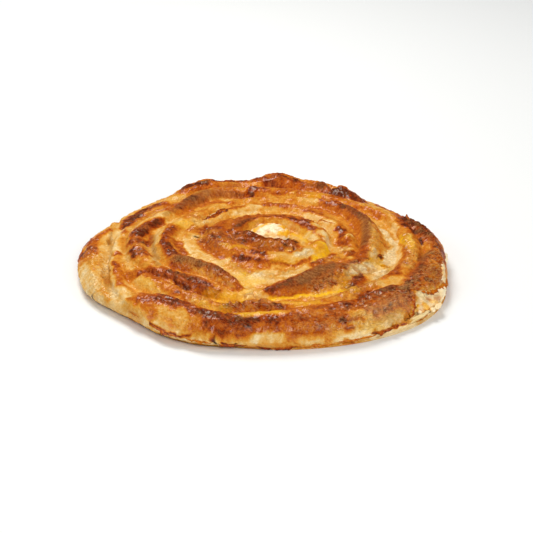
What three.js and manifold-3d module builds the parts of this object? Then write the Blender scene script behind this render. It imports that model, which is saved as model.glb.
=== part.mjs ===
// Coiled cheese pie: one long rope of filled pastry, wound outwards from the middle and baked flat.
// Millimetres, +Z up. The origin is at the middle of the flat underside. +X is to the right of
// someone who looks along +Y at the side where the filling has burst out.

import * as THREE from 'three';
import { mergeVertices } from 'three/addons/utils/BufferGeometryUtils.js';
import Module from 'manifold-3d';

const wasm = await Module();
wasm.setup();

// Driving dimensions of the whole pie
const pieRadius = 147;          // typical distance from the middle to the side
const crownHeight = 30;         // general height of the top at the middle
const crownFall = 8;            // how much lower the general height is near the rim
const crownPower = 2.2;         // flat in the middle, falling towards the rim
const valleyHeight = 23;        // the lowest floor between ropes, near the middle
const valleyFall = 17;          // how much lower that floor is near the rim
const valleyPower = 3.2;
const ropeDrop = 7.5;           // fall of a rope from its crest to its edge
const ropePower = 2.2;          // round on top, steep at the edge
const ropeEndReach = 10;        // length over which a rope's loose end rounds off
const creaseBlend = 0.9;        // how softly two ropes run into each other
const bulgeHeight = 8;          // the side is widest at this height
const rimRound = 17;            // width of the round shoulder above the bulge
const rimRise = 1.5;            // the shoulder starts this far above the general height
const leafThickness = 1.2;      // bottom sheet of pastry that peeps out at the foot
const leafReach = 1.5;          // how far that sheet stands out
const cragDepth = 0.7;          // baked lumps and wrinkles, up and down
const lumpDent = 0.06;          // the same on the filling, as a share of its half sizes
const lumpSpread = [40, 40, 25]; // stretch of a lump's unit ball over those wrinkles

// Mesh fineness
const ringCount = 30;           // rings of triangles on the top, ring n has 6n corners
const sideRows = 3;             // rows from the bulge down to the bottom sheet
const coreStep = 15;            // length between sections of the filling's core
const coreSides = 6;
const lumpSides = [20, 12];     // round and down

// The pie seen from above: angle in degrees (counterclockwise from +X), distance from the middle
// to the bulge, distance to the foot, which is tucked in where the rope hangs over, and how round
// the shoulder is, from 1 for a straight slope to 2 for a quarter circle.
const outline = [
  [0, 145, 141, 2], [18, 142, 138, 1.6], [36, 138, 134, 1.15], [50, 139, 135, 1.2],
  [64, 143, 139, 1.6], [85, 145.2, 141, 2], [100, 145, 141, 2], [118, 143, 139, 1.7],
  [134, 138, 134, 1.2], [150, 136, 132, 1.2], [164, 139, 135, 1.6], [178, 145, 138, 2],
  [190, 146.5, 138, 2], [207, 148, 140, 2], [218, 144, 135, 2], [228, 143, 134, 2],
  [238, 147, 138, 2], [250, 149, 140, 2], [262, 146, 138, 2], [276, 145, 141, 2],
  [290, 147, 145, 2], [304, 152, 150, 2.2], [316, 155, 154, 2.2], [327, 155, 154, 2.2],
  [338, 152, 150, 2.2], [350, 146.5, 141, 2],
];

// Every rope as its crest runs clockwise: angle, distance from the middle, height of the crest,
// and the rope's width from the crest inwards and outwards.
const ropes = {
  frontLip: [
    [335, 36, 28, 7, 12], [313, 28, 30, 8, 13], [290, 19, 30.5, 8, 14], [250, 13, 31, 7, 13],
    [215, 13, 31, 6, 12], [190, 18, 30.5, 6, 12], [168, 22, 29.5, 7, 12],
  ],
  firstTurn: [
    [185, 19, 29.5, 6, 12], [160, 21, 31, 7, 12], [124, 23, 32.5, 9, 12], [91, 24, 33, 10, 12],
    [60, 28, 33, 10, 12], [35, 34, 32, 10, 12], [10, 41, 30.5, 11, 11], [345, 47, 29, 12, 11],
    [322, 50, 28, 13, 11], [300, 45, 28, 13, 13], [275, 41, 28.5, 13, 13], [250, 36, 29, 13, 14],
    [220, 34, 29.5, 12, 14], [190, 34, 29.5, 11, 14], [165, 34, 29.5, 10, 13], [140, 34, 28, 9, 12],
  ],
  secondTurn: [
    [178, 61, 23.5, 8, 8], [160, 55, 25.5, 9, 9], [145, 52, 26.5, 10, 9], [129, 53, 27, 10, 9],
    [91, 57, 26.5, 10, 9], [60, 60, 26.5, 10, 9], [30, 60, 26.5, 10, 10], [10, 63, 26.5, 9, 10],
    [352, 68, 26.5, 9, 9], [338, 75, 27, 8, 8], [328, 73, 27, 8, 8], [315, 66, 26, 8, 8],
    [300, 66, 25, 8, 8], [290, 70, 23, 8, 8],
  ],
  thirdTurn: [
    [262, 91, 22, 7, 8], [255, 82, 26, 8, 9], [244, 73, 27, 9, 10], [232, 70, 27.5, 9, 11],
    [216, 75, 27.5, 9, 12], [200, 78, 27.5, 9, 11], [180, 76, 27, 9, 11], [160, 71, 26, 9, 11],
    [138, 66, 25.5, 9, 12], [115, 70, 25, 9, 11], [90, 75, 24.5, 9, 9], [68, 80, 25, 9, 9],
    [48, 87, 26, 9, 9], [27, 87, 27, 9, 10], [5, 86, 28, 9, 10], [345, 86, 28.5, 9, 11],
    [330, 86, 28.5, 9, 12], [318, 80, 28.5, 9, 13], [305, 77, 28.5, 9, 14], [290, 82, 27.5, 9, 12],
    [278, 88, 26, 8, 9], [271, 91, 23, 7, 8],
  ],
  fourthTurn: [
    [257, 98, 22, 7, 8], [247, 93, 25, 8, 9], [235, 91, 25.5, 8, 10], [220, 95, 25, 9, 10],
    [204, 98, 24.5, 9, 10], [190, 99, 24.5, 9, 9], [175, 100, 25, 9, 9], [162, 95, 25.5, 9, 10],
    [149, 91, 25.5, 9, 12], [135, 92, 25, 9, 12], [118, 100, 25.5, 10, 11], [104, 95, 25.5, 9, 12],
    [88, 92, 25.5, 8, 13], [70, 92, 25, 8, 13], [55, 98, 24, 9, 11], [40, 105, 22.5, 9, 9],
    [25, 113, 22.5, 9, 8], [8, 116, 23.5, 10, 9], [350, 119, 24.5, 11, 9], [335, 123, 25, 12, 8],
    [320, 122, 25, 13, 8], [305, 117, 24, 11, 8], [290, 119, 23.5, 10, 8], [275, 114, 23.5, 9, 9],
    [266, 112, 24, 9, 9], [257, 118, 23, 10, 8], [245, 112, 22.5, 9, 9], [230, 108, 22.5, 9, 10],
    [215, 109, 22, 9, 10], [203, 111, 20, 8, 8], [194, 110, 17, 7, 7],
  ],
  outerTurn: [
    [226, 133, 17, 9, 12], [215, 129, 18.5, 10, 12], [205, 122, 19, 9, 11], [193, 117, 19, 8, 10],
    [180, 114, 19.5, 8, 9], [166, 111, 18.5, 9, 9], [153, 111, 15.5, 10, 14], [140, 113, 14.5, 11, 15],
    [128, 118, 18, 11, 15], [114, 126, 22.5, 12, 15], [103, 124, 19.5, 12, 15],
    [95, 124, 18.5, 12, 15], [85, 127, 25, 12, 15], [76, 126, 21, 12, 15], [70, 126, 20.5, 12, 15],
    [62, 126, 19, 12, 15], [55, 122, 20.5, 12, 15], [45, 115, 16.5, 11, 15], [33, 115, 16.5, 10, 15],
    [20, 121, 21, 9, 15], [6, 129, 22.5, 10, 13], [353, 135, 21, 10, 11], [340, 133, 24, 9, 12],
    [327, 134, 24.5, 9, 13], [316, 130, 24.5, 9, 15], [300, 130, 24.5, 9, 16], [285, 128, 24.5, 9, 17],
    [270, 131, 24.5, 9, 15], [258, 135, 24, 9, 13], [247, 128, 23, 9, 15], [236, 124, 22.5, 9, 17],
    [228, 128, 21, 9, 16], [222, 132, 18, 9, 13],
  ],
  looseEnd: [
    [226, 137, 9, 9, 9], [217, 139, 12.5, 11, 9], [206, 138, 15, 12, 10], [192, 134, 17, 12, 11],
    [178, 131, 17, 12, 13], [166, 127, 15.5, 11, 13], [156, 122, 13, 10, 12], [147, 117, 11, 9, 10],
  ],
};

// The filling lies in the rope as a core from the middle to the burst side: angle and distance of
// its centreline, clockwise.
const coreHalfWidth = 5;
const coreHalfHeight = 4.5;
const coreCentreHeight = 9;
const coreRoute = [
  [60, 12], [10, 30], [330, 40], [290, 42], [250, 36], [210, 35], [170, 37], [140, 41], [115, 49],
  [91, 56], [60, 60], [30, 60], [5, 64], [345, 70], [325, 72], [300, 71], [275, 80], [250, 78],
  [232, 71], [205, 77], [180, 76], [150, 69], [120, 69], [90, 74], [60, 82], [30, 88], [0, 86],
  [330, 86], [305, 80], [280, 87], [250, 93], [225, 94], [200, 98], [175, 99], [150, 92],
  [120, 98], [90, 95], [65, 98], [40, 106], [15, 114], [345, 118], [320, 120], [290, 117],
  [255, 115], [228, 109], [205, 113], [180, 114], [155, 111], [135, 114], [115, 122], [90, 124],
  [65, 123], [45, 115], [25, 119], [5, 129], [350, 134], [338, 137], [331, 144],
];
// Where the filling shows it swells into lumps: centre, half sizes, turn about Z in degrees, and
// how square the lump is, from 2 for a ball upwards.
const middleLump = { at: [7, 3, 20], half: [17, 13, 8.5], turn: -14, square: 2.2 };
const burstLump = { at: [124.5, -74.5, 7.4], half: [11.5, 27, 6.4], turn: -31, square: 4 };
const peepLump = { at: [140, -13.5, 9], half: [5.6, 11, 5], turn: -5, square: 3 };
const coreGap = 0.3;            // clearance all round the filling

// The wrinkles are three crossing waves, bent by two long ones. Each row has the radians per
// millimetre along X and along Y, the start, and for the crossing ones the share of the bend.
const bendDepth = 3;
const bendWaves = [[0.045, 0, 0.8], [0, 0.052, -1.1]];
const cragWaves = [[0.31, 0.12, 0, 1], [-0.14, 0.36, 2.1, -0.7], [0.21, -0.27, 4.4, 1.3]];

const degree = Math.PI / 180;
const fullTurn = 360;
const endMargin = 90;           // a rope is worked out this many degrees past its ends

// Smooth curve through the rows of a list: the value of one column at a place along column 0,
// which rises from row to row. Each row's slope is that of the line between its neighbours.
function alongRows(places, rows, column, place) {
  const last = rows.length - 1;
  let i = 0;
  while (i < last - 1 && place > places[i + 1]) i += 1;
  const slope = (k) => {
    const a = Math.max(k - 1, 0);
    const b = Math.min(k + 1, last);
    return (rows[b][column] - rows[a][column]) / (places[b] - places[a]);
  };
  const step = places[i + 1] - places[i];
  const t = Math.min(Math.max((place - places[i]) / step, 0), 1);
  const t2 = t * t;
  const t3 = t2 * t;
  return (2 * t3 - 3 * t2 + 1) * rows[i][column] + (t3 - 2 * t2 + t) * step * slope(i)
    + (3 * t2 - 2 * t3) * rows[i + 1][column] + (t3 - t2) * step * slope(i + 1);
}

// Clockwise travel of each row from angle 0 in degrees, rising from row to row.
function clockwiseTravel(rows) {
  const travel = [];
  for (const [angle] of rows) {
    let place = -angle;
    while (travel.length && place < travel[travel.length - 1]) place += fullTurn;
    travel.push(place);
  }
  return travel;
}

const travels = Object.fromEntries(
  Object.entries(ropes).map(([name, rows]) => [name, clockwiseTravel(rows)]),
);
const closedOutline = [
  ...outline.slice(-2).map(([a, ...rest]) => [a - fullTurn, ...rest]),
  ...outline,
  ...outline.slice(0, 2).map(([a, ...rest]) => [a + fullTurn, ...rest]),
];
const outlinePlaces = closedOutline.map(([a]) => a);

const positiveAngle = (x, y) => (Math.atan2(y, x) / degree + fullTurn) % fullTurn;
const bulgeRadius = (angle) => alongRows(outlinePlaces, closedOutline, 1, angle);
const footRadius = (angle) => alongRows(outlinePlaces, closedOutline, 2, angle);
const shoulderRoundness = (angle) => alongRows(outlinePlaces, closedOutline, 3, angle);

// Height of one rope above the underside, at an angle and a distance from the middle.
function ropeHeight(name, angle, distance) {
  const rows = ropes[name];
  const travel = travels[name];
  const first = travel[0];
  const last = travel[travel.length - 1];
  let height = -Infinity;
  for (let place = -angle - 2 * fullTurn; place < last + endMargin; place += fullTurn) {
    if (place < first - endMargin) continue;
    const on = Math.min(Math.max(place, first), last);
    const beyond = Math.abs(place - on) * degree * distance / ropeEndReach;
    const off = distance - alongRows(travel, rows, 1, on);
    const width = alongRows(travel, rows, off < 0 ? 3 : 4, on);
    const across = Math.hypot(off / width, beyond);
    const fall = ropeDrop * across ** ropePower;
    height = Math.max(height, alongRows(travel, rows, 2, on) - fall);
  }
  return height;
}

// Baked lumps and wrinkles at a place seen from above, between -1 and 1.
function crags(x, y) {
  const bend = bendWaves.reduce((sum, [kx, ky, start]) => sum + Math.sin(kx * x + ky * y + start), 0);
  const [a, b, c] = cragWaves.map(
    ([kx, ky, start, share]) => Math.sin(kx * x + ky * y + start + share * bendDepth * bend),
  );
  return (a * b + c * b + a) / 3;
}

function generalHeight(distance) {
  return crownHeight - crownFall * (distance / pieRadius) ** crownPower;
}

// Height of the top: the highest of all ropes and the valley floor, softly joined, kept under the
// round shoulder at the rim.
function topHeight(x, y) {
  const angle = positiveAngle(x, y);
  const distance = Math.hypot(x, y);
  const heights = Object.keys(ropes).map((name) => ropeHeight(name, angle, distance));
  heights.push(valleyHeight - valleyFall * (distance / pieRadius) ** valleyPower);
  const highest = Math.max(...heights);
  const sum = heights.reduce((s, h) => s + Math.exp((h - highest) / creaseBlend), 0);
  const coil = highest + creaseBlend * Math.log(sum) + cragDepth * crags(x, y);
  const t = Math.min(Math.max((distance - bulgeRadius(angle) + rimRound) / rimRound, 0), 1);
  const shoulderTop = generalHeight(distance) + rimRise;
  const round = shoulderRoundness(angle);
  const shoulder = bulgeHeight + (shoulderTop - bulgeHeight) * (1 - t ** round) ** (1 / round);
  return -Math.log(Math.exp(-coil) + Math.exp(-shoulder));
}

// Distance of the side from the middle, from the bulge (down = 0) to the foot (down = 1), with the
// bottom sheet of pastry standing out.
function sideRadius(angle, height) {
  const down = 1 - height / bulgeHeight;
  const wall = bulgeRadius(angle) + (footRadius(angle) - bulgeRadius(angle)) * down ** 2;
  return height <= leafThickness ? wall + leafReach : wall;
}

// The whole pie without its filling: a top of six-sided rings, a side and a flat underside.
function pastryBody() {
  const points = [];
  const faces = [];
  const ringStart = (n) => (n === 0 ? 0 : 1 + 3 * n * (n - 1));
  const columnCount = 6 * ringCount;
  points.push([0, 0, topHeight(0, 0)]);
  for (let n = 1; n <= ringCount; n += 1) {
    for (let k = 0; k < 6 * n; k += 1) {
      const angle = fullTurn * k / (6 * n);
      const distance = bulgeRadius(angle) * n / ringCount;
      const x = distance * Math.cos(angle * degree);
      const y = distance * Math.sin(angle * degree);
      points.push([x, y, n === ringCount ? bulgeHeight : topHeight(x, y)]);
    }
  }
  for (let n = 1; n <= ringCount; n += 1) {
    const outer = ringStart(n);
    const inner = ringStart(n - 1);
    const innerCount = Math.max(6 * (n - 1), 1);
    for (let sector = 0; sector < 6; sector += 1) {
      for (let k = 0; k < n; k += 1) {
        const o0 = outer + (sector * n + k) % (6 * n);
        const o1 = outer + (sector * n + k + 1) % (6 * n);
        const i0 = inner + (sector * (n - 1) + k) % innerCount;
        faces.push([i0, o0, o1]);
        if (k < n - 1) faces.push([i0, o1, inner + (sector * (n - 1) + k + 1) % innerCount]);
      }
    }
  }
  const heights = [];
  for (let row = 1; row < sideRows; row += 1) {
    heights.push(bulgeHeight + (leafThickness * 2 - bulgeHeight) * row / (sideRows - 1));
  }
  heights.push(leafThickness, 0);
  let above = ringStart(ringCount);
  for (const height of heights) {
    const below = points.length;
    for (let k = 0; k < columnCount; k += 1) {
      const angle = fullTurn * k / columnCount;
      const distance = sideRadius(angle, height);
      points.push([distance * Math.cos(angle * degree), distance * Math.sin(angle * degree), height]);
      const next = (k + 1) % columnCount;
      faces.push([above + k, below + k, below + next], [above + k, below + next, above + next]);
    }
    above = below;
  }
  const middle = points.length;
  points.push([0, 0, 0]);
  for (let k = 0; k < columnCount; k += 1) {
    faces.push([middle, above + (k + 1) % columnCount, above + k]);
  }
  return geometryFrom(points, faces);
}

function geometryFrom(points, faces) {
  const geometry = new THREE.BufferGeometry();
  geometry.setAttribute('position', new THREE.Float32BufferAttribute(points.flat(), 3));
  geometry.setIndex(faces.flat());
  return geometry;
}

// The filling's core: a six-sided section carried along the coil, grown by a clearance.
function coreBody(grow) {
  const travel = clockwiseTravel(coreRoute);
  const points = [];
  const faces = [];
  let sectionCount = 0;
  for (let place = travel[0]; place < travel[travel.length - 1];) {
    const distance = alongRows(travel, coreRoute, 1, place);
    for (let side = 0; side < coreSides; side += 1) {
      const turn = 2 * Math.PI * side / coreSides;
      const reach = distance + (coreHalfWidth + grow) * Math.cos(turn);
      points.push([
        reach * Math.cos(place * degree),
        -reach * Math.sin(place * degree),
        coreCentreHeight + (coreHalfHeight + grow) * Math.sin(turn),
      ]);
    }
    place += coreStep / distance / degree;
    sectionCount += 1;
  }
  for (let s = 0; s < sectionCount - 1; s += 1) {
    for (let side = 0; side < coreSides; side += 1) {
      const a = s * coreSides + side;
      const b = s * coreSides + (side + 1) % coreSides;
      faces.push([a, b, b + coreSides], [a, b + coreSides, a + coreSides]);
    }
  }
  const end = (sectionCount - 1) * coreSides;
  for (let side = 1; side < coreSides - 1; side += 1) {
    faces.push([0, side + 1, side], [end, end + side, end + side + 1]);
  }
  return geometryFrom(points, faces);
}

// A lump of curd: a squared-off ball stretched to its half sizes, dented by the pastry's waves.
function lumpBody({ at, half, turn, square }, grow) {
  const ball = new THREE.SphereGeometry(1, ...lumpSides);
  ball.deleteAttribute('normal');
  ball.deleteAttribute('uv');
  const geometry = mergeVertices(ball);
  const position = geometry.getAttribute('position');
  const point = new THREE.Vector3();
  for (let i = 0; i < position.count; i += 1) {
    point.fromBufferAttribute(position, i);
    const dent = 1 + lumpDent * crags(
      lumpSpread[0] * point.x + at[0],
      lumpSpread[1] * point.y + lumpSpread[2] * point.z,
    );
    const powers = point.toArray().reduce((sum, c) => sum + Math.abs(c) ** square, 0);
    point.multiplyScalar(powers ** (-1 / square));
    point.set(
      point.x * (half[0] * dent + grow),
      point.y * (half[1] * dent + grow),
      point.z * (half[2] * dent + grow),
    );
    position.setXYZ(i, point.x, point.y, point.z);
  }
  geometry.rotateZ(turn * degree);
  geometry.translate(...at);
  return geometry;
}

function solidFrom(geometry) {
  return new wasm.Manifold(new wasm.Mesh({
    numProp: 3,
    vertProperties: new Float32Array(geometry.getAttribute('position').array),
    triVerts: new Uint32Array(geometry.getIndex().array),
  }));
}

function geometryOf(solid) {
  const { vertProperties, triVerts } = solid.getMesh();
  const geometry = new THREE.BufferGeometry();
  geometry.setAttribute('position', new THREE.BufferAttribute(new Float32Array(vertProperties), 3));
  geometry.setIndex(new THREE.BufferAttribute(new Uint32Array(triVerts), 1));
  geometry.computeVertexNormals();
  return geometry;
}

function fillingSolid(grow) {
  return [middleLump, burstLump, peepLump].reduce(
    (solid, lump) => solid.add(solidFrom(lumpBody(lump, grow))),
    solidFrom(coreBody(grow)),
  );
}

function named(name, solid, material) {
  const mesh = new THREE.Mesh(geometryOf(solid), material);
  mesh.name = name;
  return mesh;
}

const bakedPastry = new THREE.MeshStandardMaterial({ color: 0xc88238, roughness: 0.45, metalness: 0 });
const whiteCheese = new THREE.MeshStandardMaterial({ color: 0xf4e9cf, roughness: 0.6, metalness: 0 });

const pie = new THREE.Group();
pie.add(named('pastry_coil', solidFrom(pastryBody()).subtract(fillingSolid(coreGap)), bakedPastry));
pie.add(named('cheese_filling', fillingSolid(0), whiteCheese));

export default pie;
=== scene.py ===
import bpy
import numpy as np
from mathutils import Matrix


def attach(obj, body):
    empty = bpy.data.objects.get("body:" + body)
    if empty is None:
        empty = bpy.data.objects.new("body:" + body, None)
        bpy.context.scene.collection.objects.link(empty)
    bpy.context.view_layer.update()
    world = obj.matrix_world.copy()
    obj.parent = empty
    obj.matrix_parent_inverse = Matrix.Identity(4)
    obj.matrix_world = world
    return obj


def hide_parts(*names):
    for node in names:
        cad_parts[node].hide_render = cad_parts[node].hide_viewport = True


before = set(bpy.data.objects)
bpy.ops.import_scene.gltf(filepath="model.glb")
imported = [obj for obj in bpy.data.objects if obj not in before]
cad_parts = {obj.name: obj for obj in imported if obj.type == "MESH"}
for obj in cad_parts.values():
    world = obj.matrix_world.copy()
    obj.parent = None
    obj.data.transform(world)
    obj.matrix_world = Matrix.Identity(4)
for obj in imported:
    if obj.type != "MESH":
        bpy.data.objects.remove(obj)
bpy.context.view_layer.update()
mm = 0.001  # the pie's own numbers are millimetres, and addMesh makes them metres

# The pie's main shape, the same numbers as its solids
pie = dict(
    radius=147, crownHeight=30, crownFall=8, crownPower=2.2,
    valleyHeight=23, valleyFall=17, valleyPower=3.2,
    ropeDrop=7.5, ropePower=2.2, ropeEndReach=10, ropeEndSpan=90, noRope=-50.0, creaseBlend=0.9,
    bulgeHeight=8, rimRound=17, rimRise=1.5, leafThickness=1.2, leafReach=1.5, cragDepth=0.7,
)

# Crossing waves of the baked lumps: radians a millimetre along x and y, share of the bend, phase
cragWaves = [(0.31, 0.12, 1, 0), (-0.14, 0.36, -0.7, 2.1), (0.21, -0.27, 1.3, 4.4)]
cragBends = [(3, 0.045, 0.8), (3, 0.052, -1.1)]  # long waves along x and y: size, rate, phase

# Angle in degrees, distance of the bulge, distance of the foot, roundness of the shoulder
outline = np.array([
    [0, 145, 141, 2], [18, 142, 138, 1.6], [36, 138, 134, 1.15], [50, 139, 135, 1.2],
    [64, 143, 139, 1.6], [85, 145.2, 141, 2], [100, 145, 141, 2], [118, 143, 139, 1.7],
    [134, 138, 134, 1.2], [150, 136, 132, 1.2], [164, 139, 135, 1.6], [178, 145, 138, 2],
    [190, 146.5, 138, 2], [207, 148, 140, 2], [218, 144, 135, 2], [228, 143, 134, 2],
    [238, 147, 138, 2], [250, 149, 140, 2], [262, 146, 138, 2], [276, 145, 141, 2],
    [290, 147, 145, 2], [304, 152, 150, 2.2], [316, 155, 154, 2.2], [327, 155, 154, 2.2],
    [338, 152, 150, 2.2], [350, 146.5, 141, 2],
])

# Crest of every rope, clockwise: angle, distance, height, width inwards, width outwards
ropes = dict(
    frontLip=[
        [335, 36, 28, 7, 12], [313, 28, 30, 8, 13], [290, 19, 30.5, 8, 14], [250, 13, 31, 7, 13],
        [215, 13, 31, 6, 12], [190, 18, 30.5, 6, 12], [168, 22, 29.5, 7, 12],
    ],
    firstTurn=[
        [185, 19, 29.5, 6, 12], [160, 21, 31, 7, 12], [124, 23, 32.5, 9, 12], [91, 24, 33, 10, 12],
        [60, 28, 33, 10, 12], [35, 34, 32, 10, 12], [10, 41, 30.5, 11, 11], [345, 47, 29, 12, 11],
        [322, 50, 28, 13, 11], [300, 45, 28, 13, 13], [275, 41, 28.5, 13, 13], [250, 36, 29, 13, 14],
        [220, 34, 29.5, 12, 14], [190, 34, 29.5, 11, 14], [165, 34, 29.5, 10, 13], [140, 34, 28, 9, 12],
    ],
    secondTurn=[
        [178, 61, 23.5, 8, 8], [160, 55, 25.5, 9, 9], [145, 52, 26.5, 10, 9], [129, 53, 27, 10, 9],
        [91, 57, 26.5, 10, 9], [60, 60, 26.5, 10, 9], [30, 60, 26.5, 10, 10], [10, 63, 26.5, 9, 10],
        [352, 68, 26.5, 9, 9], [338, 75, 27, 8, 8], [328, 73, 27, 8, 8], [315, 66, 26, 8, 8],
        [300, 66, 25, 8, 8], [290, 70, 23, 8, 8],
    ],
    thirdTurn=[
        [262, 91, 22, 7, 8], [255, 82, 26, 8, 9], [244, 73, 27, 9, 10], [232, 70, 27.5, 9, 11],
        [216, 75, 27.5, 9, 12], [200, 78, 27.5, 9, 11], [180, 76, 27, 9, 11], [160, 71, 26, 9, 11],
        [138, 66, 25.5, 9, 12], [115, 70, 25, 9, 11], [90, 75, 24.5, 9, 9], [68, 80, 25, 9, 9],
        [48, 87, 26, 9, 9], [27, 87, 27, 9, 10], [5, 86, 28, 9, 10], [345, 86, 28.5, 9, 11],
        [330, 86, 28.5, 9, 12], [318, 80, 28.5, 9, 13], [305, 77, 28.5, 9, 14], [290, 82, 27.5, 9, 12],
        [278, 88, 26, 8, 9], [271, 91, 23, 7, 8],
    ],
    fourthTurn=[
        [257, 98, 22, 7, 8], [247, 93, 25, 8, 9], [235, 91, 25.5, 8, 10], [220, 95, 25, 9, 10],
        [204, 98, 24.5, 9, 10], [190, 99, 24.5, 9, 9], [175, 100, 25, 9, 9], [162, 95, 25.5, 9, 10],
        [149, 91, 25.5, 9, 12], [135, 92, 25, 9, 12], [118, 100, 25.5, 10, 11], [104, 95, 25.5, 9, 12],
        [88, 92, 25.5, 8, 13], [70, 92, 25, 8, 13], [55, 98, 24, 9, 11], [40, 105, 22.5, 9, 9],
        [25, 113, 22.5, 9, 8], [8, 116, 23.5, 10, 9], [350, 119, 24.5, 11, 9], [335, 123, 25, 12, 8],
        [320, 122, 25, 13, 8], [305, 117, 24, 11, 8], [290, 119, 23.5, 10, 8], [275, 114, 23.5, 9, 9],
        [266, 112, 24, 9, 9], [257, 118, 23, 10, 8], [245, 112, 22.5, 9, 9], [230, 108, 22.5, 9, 10],
        [215, 109, 22, 9, 10], [203, 111, 20, 8, 8], [194, 110, 17, 7, 7],
    ],
    outerTurn=[
        [226, 133, 17, 9, 12], [215, 129, 18.5, 10, 12], [205, 122, 19, 9, 11], [193, 117, 19, 8, 10],
        [180, 114, 19.5, 8, 9], [166, 111, 18.5, 9, 9], [153, 111, 15.5, 10, 14], [140, 113, 14.5, 11, 15],
        [128, 118, 18, 11, 15], [114, 126, 22.5, 12, 15], [103, 124, 19.5, 12, 15],
        [95, 124, 18.5, 12, 15], [85, 127, 25, 12, 15], [76, 126, 21, 12, 15], [70, 126, 20.5, 12, 15],
        [62, 126, 19, 12, 15], [55, 122, 20.5, 12, 15], [45, 115, 16.5, 11, 15], [33, 115, 16.5, 10, 15],
        [20, 121, 21, 9, 15], [6, 129, 22.5, 10, 13], [353, 135, 21, 10, 11], [340, 133, 24, 9, 12],
        [327, 134, 24.5, 9, 13], [316, 130, 24.5, 9, 15], [300, 130, 24.5, 9, 16], [285, 128, 24.5, 9, 17],
        [270, 131, 24.5, 9, 15], [258, 135, 24, 9, 13], [247, 128, 23, 9, 15], [236, 124, 22.5, 9, 17],
        [228, 128, 21, 9, 16], [222, 132, 18, 9, 13],
    ],
    looseEnd=[
        [226, 137, 9, 9, 9], [217, 139, 12.5, 11, 9], [206, 138, 15, 12, 10], [192, 134, 17, 12, 11],
        [178, 131, 17, 12, 13], [166, 127, 15.5, 11, 13], [156, 122, 13, 10, 12], [147, 117, 11, 9, 10],
    ],
)


# Value of each column at a place along column 0: cubic curve through the rows, whose slope at a row
# is that of the line between its neighbours
def alongRows(places, rows, place):
    last = len(places) - 1
    before = np.maximum(np.arange(last + 1) - 1, 0)
    after = np.minimum(np.arange(last + 1) + 1, last)
    slopes = (rows[after] - rows[before]) / (places[after] - places[before])[:, None]
    i = np.clip(np.searchsorted(places, place, side="right") - 1, 0, last - 1)
    step = (places[i + 1] - places[i])[:, None]
    t = np.clip((place - places[i])[:, None] / step, 0, 1)
    return (
        (2 * t**3 - 3 * t**2 + 1) * rows[i] + (t**3 - 2 * t**2 + t) * step * slopes[i]
        + (3 * t**2 - 2 * t**3) * rows[i + 1] + (t**3 - t**2) * step * slopes[i + 1]
    )


# Clockwise travel of each row in degrees, rising from row to row
def clockwiseTravel(rows):
    travel = -rows[:, 0]
    return travel + 360 * np.cumsum(np.diff(travel, prepend=travel[0]) < 0)


# Length of a path from its first point to each of its points
def lengthsAlong(path):
    return np.concatenate([[0], np.cumsum(np.linalg.norm(np.diff(path, axis=0), axis=1))])


# Angle in degrees and distance from the middle
def polar(x, y):
    return np.degrees(np.arctan2(y, x)) % 360, np.hypot(x, y)


# Places turned about the middle by an angle in radians
def turned(x, y, angle):
    return x * np.cos(angle) - y * np.sin(angle), x * np.sin(angle) + y * np.cos(angle)


# Bulge distance, foot distance and shoulder roundness at each angle
def outlineAt(angle):
    closed = np.vstack([outline[-2:] - [360, 0, 0, 0], outline, outline[:2] + [360, 0, 0, 0]])
    return alongRows(closed[:, 0], closed[:, 1:], angle).T


# Height of one rope: its crest less drop times across to a power, where across is the distance
# from the crest line over the rope's width, joined with the distance past the rope's end
def ropeHeight(rows, angle, distance):
    rows = np.array(rows, float)
    travel = clockwiseTravel(rows)
    height = np.full(angle.shape, pie["noRope"])
    for turn in range(-1, 3):
        place = -angle + 360 * turn
        near = (place > travel[0] - pie["ropeEndSpan"]) & (place < travel[-1] + pie["ropeEndSpan"])
        if not near.any():
            continue
        on = np.clip(place[near], travel[0], travel[-1])
        beyond = np.radians(abs(place[near] - on)) * distance[near] / pie["ropeEndReach"]
        crest, top, inner, outer = alongRows(travel, rows[:, 1:], on).T
        off = distance[near] - crest
        across = np.hypot(off / np.where(off < 0, inner, outer), beyond)
        height[near] = np.maximum(height[near], top - pie["ropeDrop"] * across ** pie["ropePower"])
    return height


# Baked lumps: products of three crossing sine waves that two long waves bend
def crags(x, y):
    bend = sum(size * np.sin(rate * place + phase) for place, (size, rate, phase) in zip((x, y), cragBends))
    a, b, c = (
        np.sin(alongX * x + alongY * y + share * bend + phase) for alongX, alongY, share, phase in cragWaves
    )
    return (a * b + c * b + a) / 3


# Floor of the valleys and general height of the top, which fall with the distance to a power
def valleyFloor(share):
    return pie["valleyHeight"] - pie["valleyFall"] * share ** pie["valleyPower"]


def crown(share):
    return pie["crownHeight"] - pie["crownFall"] * share ** pie["crownPower"]


# Height of the top: soft maximum of all ropes and of the valley floor, plus lumps, kept under the
# round shoulder at the rim
def topHeight(x, y):
    angle, distance = polar(x, y)
    share = distance / pie["radius"]
    heights = [ropeHeight(rows, angle, distance) for rows in ropes.values()]
    heights = np.array([*heights, valleyFloor(share)])
    highest = heights.max(axis=0)
    blend = pie["creaseBlend"]
    coil = highest + blend * np.log(np.exp((heights - highest) / blend).sum(axis=0))
    coil += pie["cragDepth"] * crags(x, y)
    bulge, roundness = outlineAt(angle)[[0, 2]]
    t = np.clip((distance - bulge) / pie["rimRound"] + 1, 0, 1)
    fall = (1 - t**roundness) ** (1 / roundness)
    shoulder = pie["bulgeHeight"] + (crown(share) + pie["rimRise"] - pie["bulgeHeight"]) * fall
    return -np.logaddexp(-coil, -shoulder)


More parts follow.
